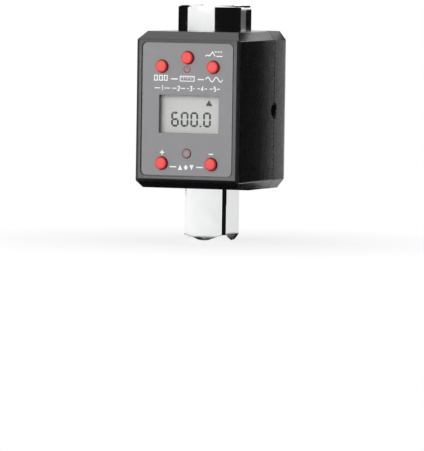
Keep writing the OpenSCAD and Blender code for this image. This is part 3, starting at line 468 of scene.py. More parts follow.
def solder_mask(name, colour):
    """Green board: copper tracks raised under the mask, and a woven ground."""
    f = Finish(name, colour, 0.32)
    tracks = f.node("TexBrick", {
        "Vector": f.stretched(1, 0, 1), "Scale": 1 / (2.4 * MM), "Mortar Size": 0.06,
        "Color1": (*tinted(colour, 0.8), 1), "Color2": (*colour, 1),
        "Mortar": (*tinted(colour, 1.9), 1)})
    weave = f.noise(0.3 * MM)
    f.paint(f.mixed(f.between(weave, 0.0, 0.35, 0.3, 0.7), tracks.outputs["Color"],
                    f.shades(weave, colour, 1.0, 1.3)))
    f.bump(weave, 0.004 * MM, 1.0, f.bump(tracks.outputs["Fac"], 0.03 * MM))
    f.dull(weave, 0.26, 0.4)
    return f.material


def battery_sleeve(name, sleeve, steel, ring, low, high):
    """Shrunk sleeve with bare steel ends and a pale ring."""
    f = Finish(name, sleeve, 0.3)
    up = f.between(f.axis("Z"), 0.0, 1.0, low, high)
    f.paint(f.colours(up, (0.0, steel), (0.03, sleeve), (0.62, ring), (0.66, sleeve),
                      (0.97, steel), sharp=True))
    f.dull(f.noise(1.5 * MM), 0.25, 0.4)
    f.bump(f.noise(3 * MM, 2.0), 0.02 * MM, 0.5)
    return f.material


def make_finishes():
    """Makes all the adapter's finishes and keeps them by name."""
    look = bpy.context.scene.adapter_finish
    grain, depth = look.grain, look.grain_depth
    low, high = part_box("batteries")
    lens_low, lens_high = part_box("indicator_lens")
    lens_centre = ((lens_low.x + lens_high.x) / 2, lens_low.y,
                   (lens_low.z + lens_high.z) / 2)
    handled = ((-32 * MM, 0.42), (-30.5 * MM, 0.16), (-8 * MM, 0.16), (13 * MM, 0.26))
    recipes = {
        "chromed_steel": (chrome, (0.95, 0.955, 0.96), 0.10 * MM, 0.07),
        "polished_ball": (chrome, (0.80, 0.81, 0.83), 0.30 * MM, 0.06),
        "front_plastic": (moulded, tuple(look.housing), 0.38, grain, depth, 0.12, 0.85,
                          handled),
        "rear_plastic": (moulded, tuple(look.housing_back), 0.28, grain, depth, 0.12, 0.95),
        "black_plastic": (moulded, (0.018, 0.018, 0.020), 0.5, 0.15 * MM, 0.006 * MM),
        "jack_plastic": (moulded, (0.055, 0.055, 0.058), 0.3, 0.15 * MM, 0.004 * MM),
        "grey_plastic": (moulded, (0.32, 0.32, 0.31), 0.5, 0.15 * MM, 0.006 * MM),
        "chip_resin": (moulded, (0.014, 0.014, 0.015), 0.55, 0.10 * MM, 0.008 * MM),
        "plunger_nylon": (moulded, (0.62, 0.62, 0.58), 0.45, 0.2 * MM, 0.004 * MM, 0.05),
        "ground_steel": (ground, (0.56, 0.57, 0.59), 0.34, 0.03, 1.0, 1.0),
        "nickel_plate": (ground, (0.66, 0.65, 0.61), 0.28, 1.0, 0.05, 1.0),
        "blacked_steel": (blacked, (0.045, 0.045, 0.05)),
        "zinc_plate": (ground, (0.60, 0.61, 0.63), 0.3, 1.0, 0.2, 1.0),
        "label_film": (film, tuple(look.label)),
        "white_ink": (printed, tuple(look.ink)),
        "red_ink": (printed, (0.30, 0.016, 0.022)),
        "display_grey": (liquid_crystal, tuple(look.display)),
        "digit_grey": (printed, tuple(look.digit), 0.4, 0.06),
        "clear_pane": (clear, (0.9, 0.92, 0.92), 0.06, 0.045),
        "clear_resin": (clear, (0.85, 0.72, 0.72), 0.1, 0.55),
        "milky_lens": (milky, (0.32, 0.215, 0.225), (0.14, 0.075, 0.08), lens_centre),
        # the keys' second colour is painted shade on their skirts
        "key_red": (key_plastic, tuple(look.key), tuple(look.key_painted_shade),
                    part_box("key_unit")[0].y),
        "seal_rubber": (rubber, (0.012, 0.012, 0.012)),
        "striped_rubber": (striped_rubber, (0.03, 0.02, 0.02), (0.62, 0.30, 0.28)),
        "board_green": (solder_mask, (0.012, 0.085, 0.035)),
        "gauge_foil": (gauge_foil, (0.55, 0.25, 0.05), (0.62, 0.48, 0.33)),
        "battery_sleeve": (battery_sleeve, (0.02, 0.045, 0.10), (0.62, 0.62, 0.62),
                           (0.45, 0.47, 0.5), low.z, high.z),
        "wire_white": (insulation, (0.70, 0.70, 0.69)),
        "wire_red": (insulation, (0.45, 0.02, 0.02)),
        "wire_black": (insulation, (0.02, 0.02, 0.022)),
        "spring_wire": (drawn, (0.58, 0.58, 0.60)),
    }
    for name, (maker, *values) in recipes.items():
        FINISHES[name] = maker(name, *values)


def coat(material, *nodes):
    """Gives CAD nodes a finish through their material slots."""
    for name in nodes:
        for material_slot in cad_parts[name].material_slots:
            material_slot.material = FINISHES[material]


# Shared shapes

def add_piece(name, mesh, body, material, slot, *nodes):
    """A finished piece that rides on its body and stands for the CAD nodes it names."""
    thing = bpy.data.objects.new(name, mesh)
    bpy.context.scene.collection.objects.link(thing)
    mesh.materials.clear()
    mesh.materials.append(FINISHES[material])
    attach(thing, body)
    if nodes:
        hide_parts(*nodes)
    return thing


def merged_copy(node):
    """A CAD node's mesh as one closed skin with as few faces as its form needs."""
    form = bmesh.new()
    form.from_mesh(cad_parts[node].data)
    bmesh.ops.remove_doubles(form, verts=form.verts, dist=SAME_PLACE)
    bmesh.ops.dissolve_limit(form, angle_limit=SAME_PLANE, verts=form.verts,
                             edges=form.edges)
    return form


def mesh_of(name, form):
    """A form as a mesh. The form is freed."""
    mesh = bpy.data.meshes.new(name)
    form.to_mesh(mesh)
    form.free()
    return mesh


def soften_long_edges(form, width):
    """Rounds the outer edges that run from the face to the back."""
    low = [min(v.co[i] for v in form.verts) for i in range(3)]
    high = [max(v.co[i] for v in form.verts) for i in range(3)]

    def at_corner(point):
        return all(min(point[i] - low[i], high[i] - point[i]) < CORNER_REACH for i in (0, 2))

    long_edges = []
    for edge in form.edges:
        way = edge.verts[1].co - edge.verts[0].co
        if (len(edge.link_faces) == 2 and edge.calc_face_angle(0) > CRISP
                and abs(way.y) > MOSTLY * way.length and way.length > LONG_EDGE
                and all(at_corner(vert.co) for vert in edge.verts)):
            long_edges.append(edge)
    bmesh.ops.bevel(form, geom=long_edges, offset=width, segments=5, profile=0.5,
                    affect="EDGES", clamp_overlap=True)


def rounded_piece(name, node, width, body, material, slot, long_width=0.0):
    """A CAD node's form with every crisp edge rounded, in the node's place."""
    form = merged_copy(node)
    if long_width:
        soften_long_edges(form, long_width)
    weight = form.edges.layers.float.new("bevel_weight_edge")
    for face in form.faces:
        longest = max(edge.calc_length() for edge in face.edges)
        face.smooth = face.calc_area() < FLAT_WIDTH * longest
    for edge in form.edges:
        if len(edge.link_faces) == 2 and edge.calc_face_angle(0) > CRISP:
            if edge.calc_length() > LONG_ENOUGH * width:
                edge[weight] = 1.0
            else:
                edge.smooth = False
    mesh = mesh_of(name, form)
    if "custom_normal" in mesh.attributes:
        mesh.attributes.remove(mesh.attributes["custom_normal"])
    thing = add_piece(name, mesh, body, material, slot, node)
    rounding = thing.modifiers.new("Rounding", "BEVEL")
    rounding.limit_method = "WEIGHT"
    rounding.width = width
    rounding.segments = 2
    rounding.use_clamp_overlap = False
    rounding.miter_outer = "MITER_ARC"
    shading = thing.modifiers.new("Shading", "WEIGHTED_NORMAL")
    shading.keep_sharp = True
    shading.weight = 60


def area(outline):
    """Signed area of an outline in X and Z."""
    return sum(a[0] * b[1] - b[0] * a[1]
               for a, b in zip(outline, outline[1:] + outline[:1])) / 2


def plates_piece(name, outlines, ground_y, height, material, slot):
    """Plates with those outlines, in millimetres in X and Z, as high over the ground as
    height and sunk a little into it. Plates that cross aren't in one plane."""
    depth = 1.5 * height
    front = ground_y - height
    form = bmesh.new()
    for i, outline in enumerate(outlines):
        if area(outline) < 0:
            outline = outline[::-1]
        top = front + (i % 4) * depth / 16
        near = [form.verts.new((x * MM, top, z * MM)) for x, z in outline]
        far = [form.verts.new((x * MM, front + depth, z * MM)) for x, z in outline]
        form.faces.new(near)
        form.faces.new(far[::-1])
        for a in range(len(outline)):
            b = (a + 1) % len(outline)
            form.faces.new((near[b], near[a], far[a], far[b]))
    add_piece(name, mesh_of(name, form), "adapter", material, slot)


def line(points, width, closed=False):
    """Outlines of a line through points, with mitred corners."""
    points = [Vector(point) for point in points]
    ways = [(b - a).normalized() for a, b in zip(points, points[1:] + points[:closed])]
    sides = [Vector((-way.y, way.x)) for way in ways]
    corners = []
    for i, point in enumerate(points):
        before = sides[i - 1] if closed or i else sides[0]
        after = sides[min(i, len(sides) - 1)]
        side = (before + after).normalized()
        mitre = side * (width / 2 / max(SHARPEST_MITRE, side.dot(after)))
        corners.append((point + mitre, point - mitre))
    return [[*first, *second[::-1]]
            for first, second in zip(corners, corners[1:] + corners[:closed])]


def arc(x, z, radius, start, end, steps):
    """Points along an arc, its angles in degrees from +X towards +Z."""
    return [(x + radius * math.cos(math.radians(start + (end - start) * i / steps)),
             z + radius * math.sin(math.radians(start + (end - start) * i / steps)))
            for i in range(steps + 1)]


def rectangle(x0, z0, x1, z1):
    return [(x0, z0), (x1, z0), (x1, z1), (x0, z1)]


def window(x0, x1, z0, z1, width):
    """A closed line inside that box."""
    half = width / 2
    return line(rectangle(x0 + half, z0 + half, x1 - half, z1 - half), width, closed=True)


# The printed marks, in millimetres on the label

def peak_mark(x0, x1, z0, z1, width):
    """A load curve that climbs to its peak, and the held value beside it."""
    step = (x1 - x0) / 8
    curve = [(x0, z0 + width / 2), (x0 + step, z0 + width / 2 + 0.2 * (z1 - z0)),
             (x0 + 2 * step, z0 + width / 2 + 0.1), (x0 + 3.4 * step, z1 - width / 2),
             (x0 + 4.6 * step, z0 + width / 2)]
    held = [rectangle(x0 + s * step, z1 - width, x0 + (s + 0.9) * step, z1)
            for s in (4.4, 5.7, 7.0)]
    low = [rectangle(x0 + 5.2 * step, z0, x1, z0 + width)]
    return line(curve, width) + held + low


def memory_mark(x0, x1, z0, z1, width):
    """Three stored cards side by side."""
    pitch = (x1 - x0) / 3
    return [outline for i in range(3) for outline in
            window(x0 + i * pitch, x0 + (i + 0.78) * pitch, z0, z1, width)]


def unit_mark(x0, x1, z0, z1, width):
    """A rule with long and short divisions."""
    divisions, long_reach, short_reach, half = 8, 0.62, 0.42, 0.11
    step = (x1 - x0) / divisions
    marks = window(x0, x1, z0, z1, width)
    for i in range(1, divisions):
        reach = (z1 - z0) * (short_reach if i % 2 else long_reach)
        marks.append(rectangle(x0 + i * step - half, z1 - reach, x0 + i * step + half,
                               z1 - width))
    return marks


def trace_mark(x0, x1, z0, z1, width):
    """Two turns of a wave."""
    turns, steps = 2, 32
    middle = (z0 + z1) / 2
    rise = (z1 - z0 - width) / 2
    wave = [(x0 + (x1 - x0) * i / steps,
             middle + rise * math.sin(turns * math.tau * i / steps)) for i in range(steps + 1)]
    return line(wave, width)


NUMBERS = {
    "1": ((0.25, 0.75), (0.6, 1.0), (0.6, 0.0)),
    "2": ((0.0, 0.8), (0.2, 1.0), (0.8, 1.0), (1.0, 0.8), (1.0, 0.6), (0.0, 0.0), (1.0, 0.0)),
    "3": ((0.0, 1.0), (1.0, 1.0), (0.5, 0.58), (0.8, 0.52), (1.0, 0.35), (1.0, 0.15),
          (0.8, 0.0), (0.2, 0.0), (0.0, 0.12)),
    "4": ((0.75, 0.0), (0.75, 1.0), (0.0, 0.3), (1.0, 0.3)),
    "5": ((1.0, 1.0), (0.05, 1.0), (0.05, 0.58), (0.7, 0.6), (1.0, 0.42), (1.0, 0.15),
          (0.8, 0.0), (0.0, 0.02)),
}


def number_mark(text, x0, x1, z0, z1, width):
    """A digit drawn as one line inside its box."""
    half = width / 2
    return line([(x0 + half + (x1 - x0 - width) * u, z0 + half + (z1 - z0 - width) * v)
                 for u, v in NUMBERS[text]], width)


def units_row(z0, z1, width):
    """Positions 1 to 5 of the unit pointer, each between two dashes."""
    marks = []
    middle = (z0 + z1) / 2
    spans = ((-14.9, -7.8), (-6.9, -1.0), (-0.1, 3.3), (4.5, 8.9), (10.1, 14.7))
    for i, (x0, x1) in enumerate(spans):
        centre = (x0 + x1) / 2
        marks += number_mark(str(i + 1), centre - 0.6, centre + 0.6, z0, z1, width)
        for a, b in ((x0, centre - 1.0), (centre + 1.0, x1)):
            marks += dash(a, b, middle, width)
    return marks


def dash(x0, x1, z, width):
    return [rectangle(x0, z - width / 2, x1, z + width / 2)]


def plus_mark(x, z, reach, width):
    return dash(x - reach, x + reach, z, width) + [
        rectangle(x - width / 2, z - reach, x + width / 2, z + reach)]


def setting_mark(x0, x1, z0, z1):
    """Up, enter and down: what the two lower keys step through."""
    size = (x1 - x0) * 0.27
    middle = (z0 + z1) / 2
    centre = (x0 + x1) / 2
    up = [(x0, z0 + 0.1), (x0 + size, z0 + 0.1), (x0 + size / 2, z1 - 0.1)]
    enter = [(centre - size / 2, middle), (centre, z0), (centre + size / 2, middle),
             (centre, z1)]
    down = [(x1 - size, z1 - 0.1), (x1 - size / 2, z0 + 0.1), (x1, z1 - 0.1)]
    return [up, enter, down]


def label_marks(width):
    """Every white mark on the label."""
    heavy, bold = 1.25 * width, 1.5 * width
    return (peak_mark(7.87, 15.57, 80.05, 82.35, heavy)
            + memory_mark(-15.2, -8.5, 69.4, 71.9, heavy)
            + unit_mark(-3.53, 3.17, 69.3, 71.7, width)
            + trace_mark(8.2, 15.8, 69.2, 71.6, heavy)
            + dash(-7.5, -4.5, 70.3, bold) + dash(4.6, 7.4, 70.3, bold)
            + units_row(65.25, 67.45, 1.15 * width)
            + plus_mark(-11.1, 39.0, 1.0, bold) + dash(10.0, 12.0, 38.7, bold)
            + setting_mark(-3.8, 3.3, 31.6, 34.0)
            + dash(-7.6, -4.6, 33.0, bold) + dash(4.5, 7.5, 33.0, bold))


def power_mark(x, z, radius, width):
    """A ring that is open at the top, with a bar through the gap."""
    return (line(arc(x, z, radius, 122, 418, 28), width)
            + [rectangle(x - width / 2, z + 0.1, x + width / 2, z + radius + width / 2)])


SEGMENTS = {"0": "abcdef", "1": "bc", "2": "abged", "3": "abgcd", "4": "fgbc", "5": "afgcd",
            "6": "afgedc", "7": "abc", "8": "abcdefg", "9": "abfgcd"}


def segment_digit(text, x, z, w, h, width):
    """The lit segments of one digit, whose lower left corner is at x, z."""
    half = width / 2
    gap = 0.08
    low, middle, high = z + half, z + h / 2, z + h - half
    left, right = x + half, x + w - half
    bars = {"a": ((left, high), (right, high)), "g": ((left, middle), (right, middle)),
            "d": ((left, low), (right, low)), "f": ((left, middle), (left, high)),
            "b": ((right, middle), (right, high)), "e": ((left, low), (left, middle)),
            "c": ((right, low), (right, middle))}
    shapes = []
    for name in SEGMENTS[text]:
        start, end = (Vector(point) for point in bars[name])
        along = (end - start).normalized()
        start, end = start + along * gap, end - along * gap
        along *= half
        across = Vector((along.y, -along.x))
        shapes.append([start, start + along + across, end - along + across,
                       end, end - along - across, start + along - across])
    return shapes


def reading_marks(text, w, h, width):
    """The display's reading, and the pointer above it."""
    x, z = -8.47, 49.9
    pitch, point_pitch, point_size = 4.35, 1.45, 0.75
    shapes = []
    for letter in text:
        if letter == ".":
            shapes.append(rectangle(x - 0.1, z, x - 0.1 + point_size, z + point_size))
            x += point_pitch
        else:
            shapes += segment_digit(letter, x, z, w, h, width)
            x += pitch
    pointer = [(7.1, 59.0), (10.2, 59.0), (8.65, 61.6)]
    return shapes + [pointer]


# Screws

def ring(form, radius, y, count, sides=0):
    """count points round a circle, or round a regular shape with that many sides."""
    points = []
    for turn in (math.tau * k / count for k in range(count)):
        reach = radius
        if sides:
            half = math.pi / sides
            reach *= math.cos(half) / math.cos(turn % (2 * half) - half)
        points.append(form.verts.new((reach * math.cos(turn), y, reach * math.sin(turn))))
    return points


def screw_mesh(name, head_h, shank_r, length, socket, pitch):
    """A socket screw along -Y whose head has a radius of 1 and its top at the origin."""
    count = 36
    form = bmesh.new()
    edge = 0.18
    rings = [ring(form, socket * share, -depth * head_h, count, sides=6)
             for share, depth in ((0.9, 0.6), (1.0, 0.12), (1.1, 0.0))]
    for step in range(4):
        turn = math.pi / 2 * step / 3
        rings.append(ring(form, 1 - edge + edge * math.sin(turn),
                          -edge + edge * math.cos(turn), count))
    rings += [ring(form, 1, -head_h, count), ring(form, shank_r, -head_h, count)]
    for i in range(int((length - 0.8 * pitch) / pitch)):
        top = -head_h - 0.4 * pitch - i * pitch
        rings += [ring(form, shank_r, top, count),
                  ring(form, shank_r - 0.3 * pitch, top - 0.5 * pitch, count)]
    rings.append(ring(form, 0.7 * shank_r, -head_h - length, count))
    for first, second in zip(rings, rings[1:]):
        for i in range(count):
            j = (i + 1) % count
            form.faces.new((first[i], first[j], second[j], second[i]))
    form.faces.new(rings[0])
    form.faces.new(rings[-1][::-1])
    bmesh.ops.recalc_face_normals(form, faces=form.faces)
    for face in form.faces:
        face.smooth = len(face.verts) == 4
    for side in form.edges:
        if side.calc_face_angle(0) > SCREW_CRISP:
            side.smooth = False
    return mesh_of(name, form)


def screw_tree():
    """Sets a screw at each point, each turned by its own angle about Y."""
    tree = bpy.data.node_groups.new("Screws at points", "GeometryNodeTree")
    for name, side, kind in (("Geometry", "INPUT", "Geometry"), ("Screw", "INPUT", "Object"),
                             ("Head radius", "INPUT", "Float"), ("Seed", "INPUT", "Int"),
                             ("Finish", "INPUT", "Material"),
                             ("Geometry", "OUTPUT", "Geometry")):
        tree.interface.new_socket(name, in_out=side, socket_type="NodeSocket" + kind)
    given = add_node(tree, "NodeGroupInput").outputs
    shape = add_node(tree, "GeometryNodeObjectInfo", {"Object": given["Screw"]})
    angle = add_node(tree, "FunctionNodeRandomValue", {2: 0.0, 3: math.tau,
                                                       "Seed": given["Seed"]})
    turn = add_node(tree, "ShaderNodeCombineXYZ", {"Y": angle.outputs[1]})
    place = add_node(tree, "GeometryNodeInstanceOnPoints", {
        "Points": given["Geometry"], "Instance": shape.outputs["Geometry"],
        "Rotation": turn.outputs["Vector"], "Scale": given["Head radius"]})
    real = add_node(tree, "GeometryNodeRealizeInstances", {"Geometry": place.outputs[0]})
    dress = add_node(tree, "GeometryNodeSetMaterial", {"Geometry": real.outputs[0],
                                                       "Material": given["Finish"]})
    add_node(tree, "NodeGroupOutput", {"Geometry": dress.outputs[0]})
    return tree


def screws_piece(name, node, head_r, head_h, shank_r, body, material, slot):
    """All the screws of one CAD node, at the places that its box gives."""
    shape = bpy.context.scene.adapter_screws
    low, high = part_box(node)
    unit = screw_mesh(name + "_unit", head_h / head_r, shank_r / head_r,
                      (high.y - low.y - head_h) / head_r, shape.socket_share,
                      shape.pitch / head_r)
    source = bpy.data.objects.new(unit.name, unit)
    xs = sorted({round(x, 6) for x in (low.x + head_r, high.x - head_r)})
    zs = sorted({round(z, 6) for z in (low.z + head_r, high.z - head_r)})
    points = bpy.data.meshes.new(name + "_places")
    points.from_pydata([(x, high.y, z) for x in xs for z in zs], [], [])
    carrier = bpy.data.objects.new(points.name, points)
    for thing in (source, carrier):
        bpy.context.scene.collection.objects.link(thing)
    modifier = carrier.modifiers.new("Screws", "NODES")
    modifier.node_group = bpy.data.node_groups.get("Screws at points") or screw_tree()
    values = {"Screw": source, "Head radius": head_r, "Seed": shape.seed,
              "Finish": FINISHES[material]}
    for item in modifier.node_group.interface.items_tree:
        if item.name in values:
            modifier[item.identifier] = values[item.name]
    graph = bpy.context.evaluated_depsgraph_get()
    mesh = bpy.data.meshes.new_from_object(carrier.evaluated_get(graph))
    carrier.modifiers.remove(modifier)
    for thing in (carrier, source):
        bpy.data.objects.remove(thing)
    mesh.name = name
    add_piece(name, mesh, body, material, slot, node)


# Operators

class ADAPTER_OT_finishes(bpy.types.Operator):
    """Makes the adapter's finishes"""
    bl_idname = "adapter.finishes"
    bl_label = "Make the finishes"

    def execute(self, context):
        make_finishes()
        return {"FINISHED"}


class ADAPTER_OT_shaft(bpy.types.Operator):
    """Rounds and finishes the torque shaft, its ball, seals, gauges and retaining fork"""
    bl_idname = "adapter.shaft"
    bl_label = "Dress the shaft"

    def execute(self, context):
        edges = context.scene.adapter_edges
        rounded_piece("chromed_shaft", "torque_shaft", edges.shaft, "adapter",
                      "chromed_steel", "chromed_steel")
        coat("polished_ball", "detent_ball")
        coat("spring_wire", "detent_spring")
        coat("seal_rubber", "upper_seal", "lower_seal")
        coat("gauge_foil", "strain_gauges")
        coat("ground_steel", "retaining_fork")
        return {"FINISHED"}


class ADAPTER_OT_housings(bpy.types.Operator):
    """Rounds and finishes the two housings and the battery door"""
    bl_idname = "adapter.housings"
    bl_label = "Dress the housings"

    def execute(self, context):
        edges = context.scene.adapter_edges
        for name, node, width, body, material, long_width in (
                ("front_shell", "front_housing", edges.housing, "adapter", "front_plastic",
                 edges.long_edges),
                ("rear_shell", "rear_housing", edges.housing, "adapter", "rear_plastic",
                 edges.long_edges),
                ("door_shell", "battery_door", edges.door, "door", "rear_plastic", 0.0)):
            rounded_piece(name, node, width, body, material, "housing_plastic", long_width)
        return {"FINISHED"}


class ADAPTER_OT_label(bpy.types.Operator):
    """Rounds the label's film and prints its marks"""
    bl_idname = "adapter.label"
    bl_label = "Dress the label"

    def execute(self, context):
        edges, marks = context.scene.adapter_edges, context.scene.adapter_marks
        rounded_piece("label_sheet", "face_label", edges.label, "adapter",
                      "label_film", "label_film")
        width = marks.ink_width / MM
        plates_piece("printed_marks", label_marks(width), LABEL_Y, marks.ink_height,
                     "white_ink", "switch_white")
        plates_piece("printed_power_mark", power_mark(-0.3, 74.55, 1.4, 1.4 * width),
                     LABEL_Y, marks.ink_height, "red_ink", "key_red")
        return {"FINISHED"}


class ADAPTER_OT_display(bpy.types.Operator):
    """Shows the reading on the display behind its pane"""
    bl_idname = "adapter.display"
    bl_label = "Dress the display"

    def execute(self, context):
        marks = context.scene.adapter_marks
        shapes = reading_marks(marks.reading, marks.digit_w / MM, marks.digit_h / MM,
                               marks.digit_line / MM)
        plates_piece("display_reading", shapes, DISPLAY_Y, marks.ink_height, "digit_grey",
                     "black_plastic")
        coat("display_grey", "display_cell")
        coat("clear_pane", "display_window")
        coat("grey_plastic", "display_frame")
        coat("striped_rubber", "contact_strips")
        return {"FINISHED"}


class ADAPTER_OT_keys(bpy.types.Operator):
    """Finishes the keys, their plungers and switches, the lens and the lamp"""
    bl_idname = "adapter.keys"
    bl_label = "Dress the keys"

    def execute(self, context):
        coat("key_red", *KEY_NODES)
        coat("plunger_nylon", *PLUNGER_NODES)
        coat("black_plastic", "key_switches")
        coat("milky_lens", "indicator_lens")
        coat("clear_resin", "indicator_lamp")
        return {"FINISHED"}


class ADAPTER_OT_inside(bpy.types.Operator):
    """Finishes the board, its parts, the jack, the batteries and the wires"""
    bl_idname = "adapter.inside"
    bl_label = "Dress the inner parts"

    def execute(self, context):
        coat("board_green", "main_board")
        coat("chip_resin", "processor", "amplifier")
        coat("jack_plastic", "data_jack")
        coat("black_plastic", "buzzer")
        coat("battery_sleeve", "batteries")
        coat("spring_wire", "battery_springs")
        coat("nickel_plate", "battery_plates")
        coat("wire_white", "gauge_wires")
        coat("wire_red", "power_wires")
        coat("wire_black", "port_wires")
        return {"FINISHED"}


class ADAPTER_OT_screws(bpy.types.Operator):
    """Sets the housing, door, fork and board screws"""
    bl_idname = "adapter.screws"
    bl_label = "Set the screws"

    def execute(self, context):
        large, small = (2.2 * MM, 1.4 * MM, 1.25 * MM), (1.9 * MM, 1.2 * MM, 1.0 * MM)
        for name, node, sizes, body, material, slot in (
                ("case_screw_set", "housing_screws", large, "adapter", "blacked_steel",
                 "dark_screw"),
                ("fork_screw_set", "fork_screws", large, "adapter", "zinc_plate", "steel"),
                ("board_screw_set", "board_screws", small, "adapter", "zinc_plate", "steel"),
                ("door_screw_set", "door_screws", small, "door", "blacked_steel",
                 "dark_screw")):
            screws_piece(name, node, *sizes, body, material, slot)
        return {"FINISHED"}


# Studio

SENSOR_WIDTH = 36  # millimetres, as a camera's focal length is
FOCAL_PIXELS, PICTURE_HEIGHT = 6000, 451
AIM_SIDE, AIM_RISE = 0.16, 6.78
LAMP_AIM = 55 * MM
FLOOR_RADIUS = 6.0
GLOW_START, GLOW_END = 0.03, 0.13


def direction(side, rise):
    """Unit vector from the adapter, side round from the face and rise above the table."""
    return Vector((math.sin(side) * math.cos(rise), -math.cos(side) * math.cos(rise),
                   math.sin(rise)))


def camera_place(studio):
    """The camera's matrix, rolled about its view."""
    back = direction(studio.camera_side, studio.camera_rise)
    level = Vector((math.cos(studio.camera_side), math.sin(studio.camera_side), 0))
    up = back.cross(level)
    roll = studio.camera_roll
    right = level * math.cos(roll) + up * math.sin(roll)
    top = up * math.cos(roll) - level * math.sin(roll)
    target = level * AIM_SIDE * MM + Vector((0, 0, AIM_RISE * MM))
    place = Matrix((right, top, back)).transposed().to_4x4()
    place.translation = target + back * studio.camera_far
    return place


def card(name, rows):
    """A card through rows of two points each."""
    form = bmesh.new()
    rows = [[form.verts.new(point) for point in row] for row in rows]
    for first, second in zip(rows, rows[1:]):
        form.faces.new((first[0], second[0], second[1], first[1]))
    return bpy.data.objects.new(name, mesh_of(name, form))


def fan(start, end, steps):
    """Level directions between two angles, in degrees round from the face."""
    return [direction(math.radians(start + (end - start) * i / steps), 0)
            for i in range(steps + 1)]


def bent_card(name, start, end, radius, low, high):
    """An upright card bent round the adapter, between two angles and two heights."""
    return card(name, [(way * radius + Vector((0, 0, low)), way * radius + Vector((0, 0, high)))
                       for way in fan(start, end, 16)])


def flat_card(name, start, end, inner, outer, height):
    """A card that lies round the adapter, between two angles and two radii."""
    lift = Vector((0, 0, height))
    return card(name, [(way * outer + lift, way * inner + lift)
                       for way in fan(start, end, 24)])


def flag(name, low, high):
    """A flat card between two opposite corners, in millimetres. Its plane is the one in
    which they lie."""
    first = next(i for i in range(3) if low[i] != high[i])
    across = [high[i] if i == first else low[i] for i in range(3)]
    up = [low[i] if i == first else high[i] for i in range(3)]
    return card(name, [(Vector(low) * MM, Vector(up) * MM),
                       (Vector(across) * MM, Vector(high) * MM)])


# The cards' felts: brightness, spread and how the brightness fades
FELTS = {
    "black_felt": (0.006, 0.15),
    "grey_felt": (0.11, 0.15),
    "pale_felt": (0.80, 0.03),
    "hub_felt": (0.76, 0.03, ("Z", 89.5 * MM, 98 * MM, 1.28)),
    "shank_felt": (0.97, 0.02, ("X", -26 * MM, -10 * MM, 0.84)),
}
FAR_CARD = (0.5, 0.0, 0.6)
HUB_CARD = (0.06, 89.5 * MM, 99.3 * MM)
CARDS = (
    ("black_felt", bent_card, "card_right", 20, 111, *FAR_CARD),
    ("black_felt", bent_card, "card_left", 223, 289, *FAR_CARD),
    ("grey_felt", bent_card, "card_hub_grey", 100, 123, *HUB_CARD),
    ("black_felt", bent_card, "card_hub_black", 123, 178, *HUB_CARD),
    ("black_felt", flat_card, "card_beside", 25, 115, 0.03, 0.5, 0.4 * MM),
    ("black_felt", flat_card, "card_under", 0, 360, 0.015, 0.05, 0.3 * MM),
    ("black_felt", flag, "card_side", (38, -40, 14), (38, 63, 89)),
    ("black_felt", flag, "card_back", (-20, 40, 0.5), (32, 68, 0.5)),
    ("grey_felt", flag, "card_back_grey", (-20, 68, 0.5), (32, 82, 0.5)),
    ("pale_felt", flag, "card_shank", (27, 60, 0.6), (40, 60, 26)),
    ("shank_felt", flag, "card_shank_front", (-34, -60, 0.6), (-5, -60, 26)),
    ("hub_felt", bent_card, "card_hub_pale", -62, 17, 0.06, 87 * MM, 100.5 * MM),
    ("black_felt", flag, "card_above", (5, 36, 107), (60, 36, 300)),
)


def card_finish(name, level, spread, fade=None):
    """Felt of the cards that metal and plastic mirror, with its own brightness. fade gives
    an axis, two places on it and the share of the brightness at the second."""
    f = Finish(name, (0, 0, 0), 0.9)
    f.set("Specular IOR Level", 0.0)
    f.join(f.colours(f.noise(4 * MM), (0.3, (level * (1 - spread),) * 3),
                     (0.7, (level * (1 + spread),) * 3)), "Emission Color")
    f.set("Emission Strength", 1.0)
    if fade:
        axis, start, end, last = fade
        f.join(f.between(f.axis(axis), 1.0, last, start, end), "Emission Strength")
    return f.material


def any_ray(tree, *kinds):
    """1 for rays of those kinds, and 0 for others."""
    rays = add_node(tree, "ShaderNodeLightPath")
    found = rays.outputs[kinds[0]]
    for kind in kinds[1:]:
        found = maths(tree, "MAXIMUM", found, rays.outputs[kind])
    return found


def floor_finish(near_glow):
    """Pale floor that holds the shadow, and fades to the white of the background."""
    f = Finish("pale_floor", (0.82, 0.82, 0.82), 0.9)
    f.paint(f.colours(f.noise(30 * MM), (0.3, (0.81, 0.81, 0.81)), (0.7, (0.83, 0.83, 0.83))))
    f.set("Specular IOR Level", 0.0)
    share = f.between(f.away((0, 0, 0)), near_glow, 1.0, GLOW_START, GLOW_END)
    seen = maths(f.tree, "MULTIPLY", share, any_ray(f.tree, "Is Camera Ray", "Is Glossy Ray"))
    glow = f.node("Emission")
    both = f.node("MixShader", {"Fac": seen, 1: f.shader.outputs["BSDF"],
                                2: glow.outputs["Emission"]})
    f.tree.links.new(both.outputs["Shader"], f.out.inputs["Surface"])
    return f.material


def light_world(ambient):
    """An even pale world: white to the camera and in reflections, softer as light."""
    world = bpy.data.worlds.new("Studio")
    bpy.context.scene.world = world
    world.use_nodes = True
    tree = world.node_tree
    tree.nodes.clear()
    seen = any_ray(tree, "Is Camera Ray", "Is Glossy Ray", "Is Transmission Ray")
    level = add_node(tree, "ShaderNodeMapRange", {"Value": seen, "To Min": ambient,
                                                  "To Max": 1.0})
    light = add_node(tree, "ShaderNodeBackground", {"Color": (1, 1, 1, 1),
                                                    "Strength": level.outputs["Result"]})
    add_node(tree, "ShaderNodeOutputWorld", {"Surface": light.outputs["Background"]})


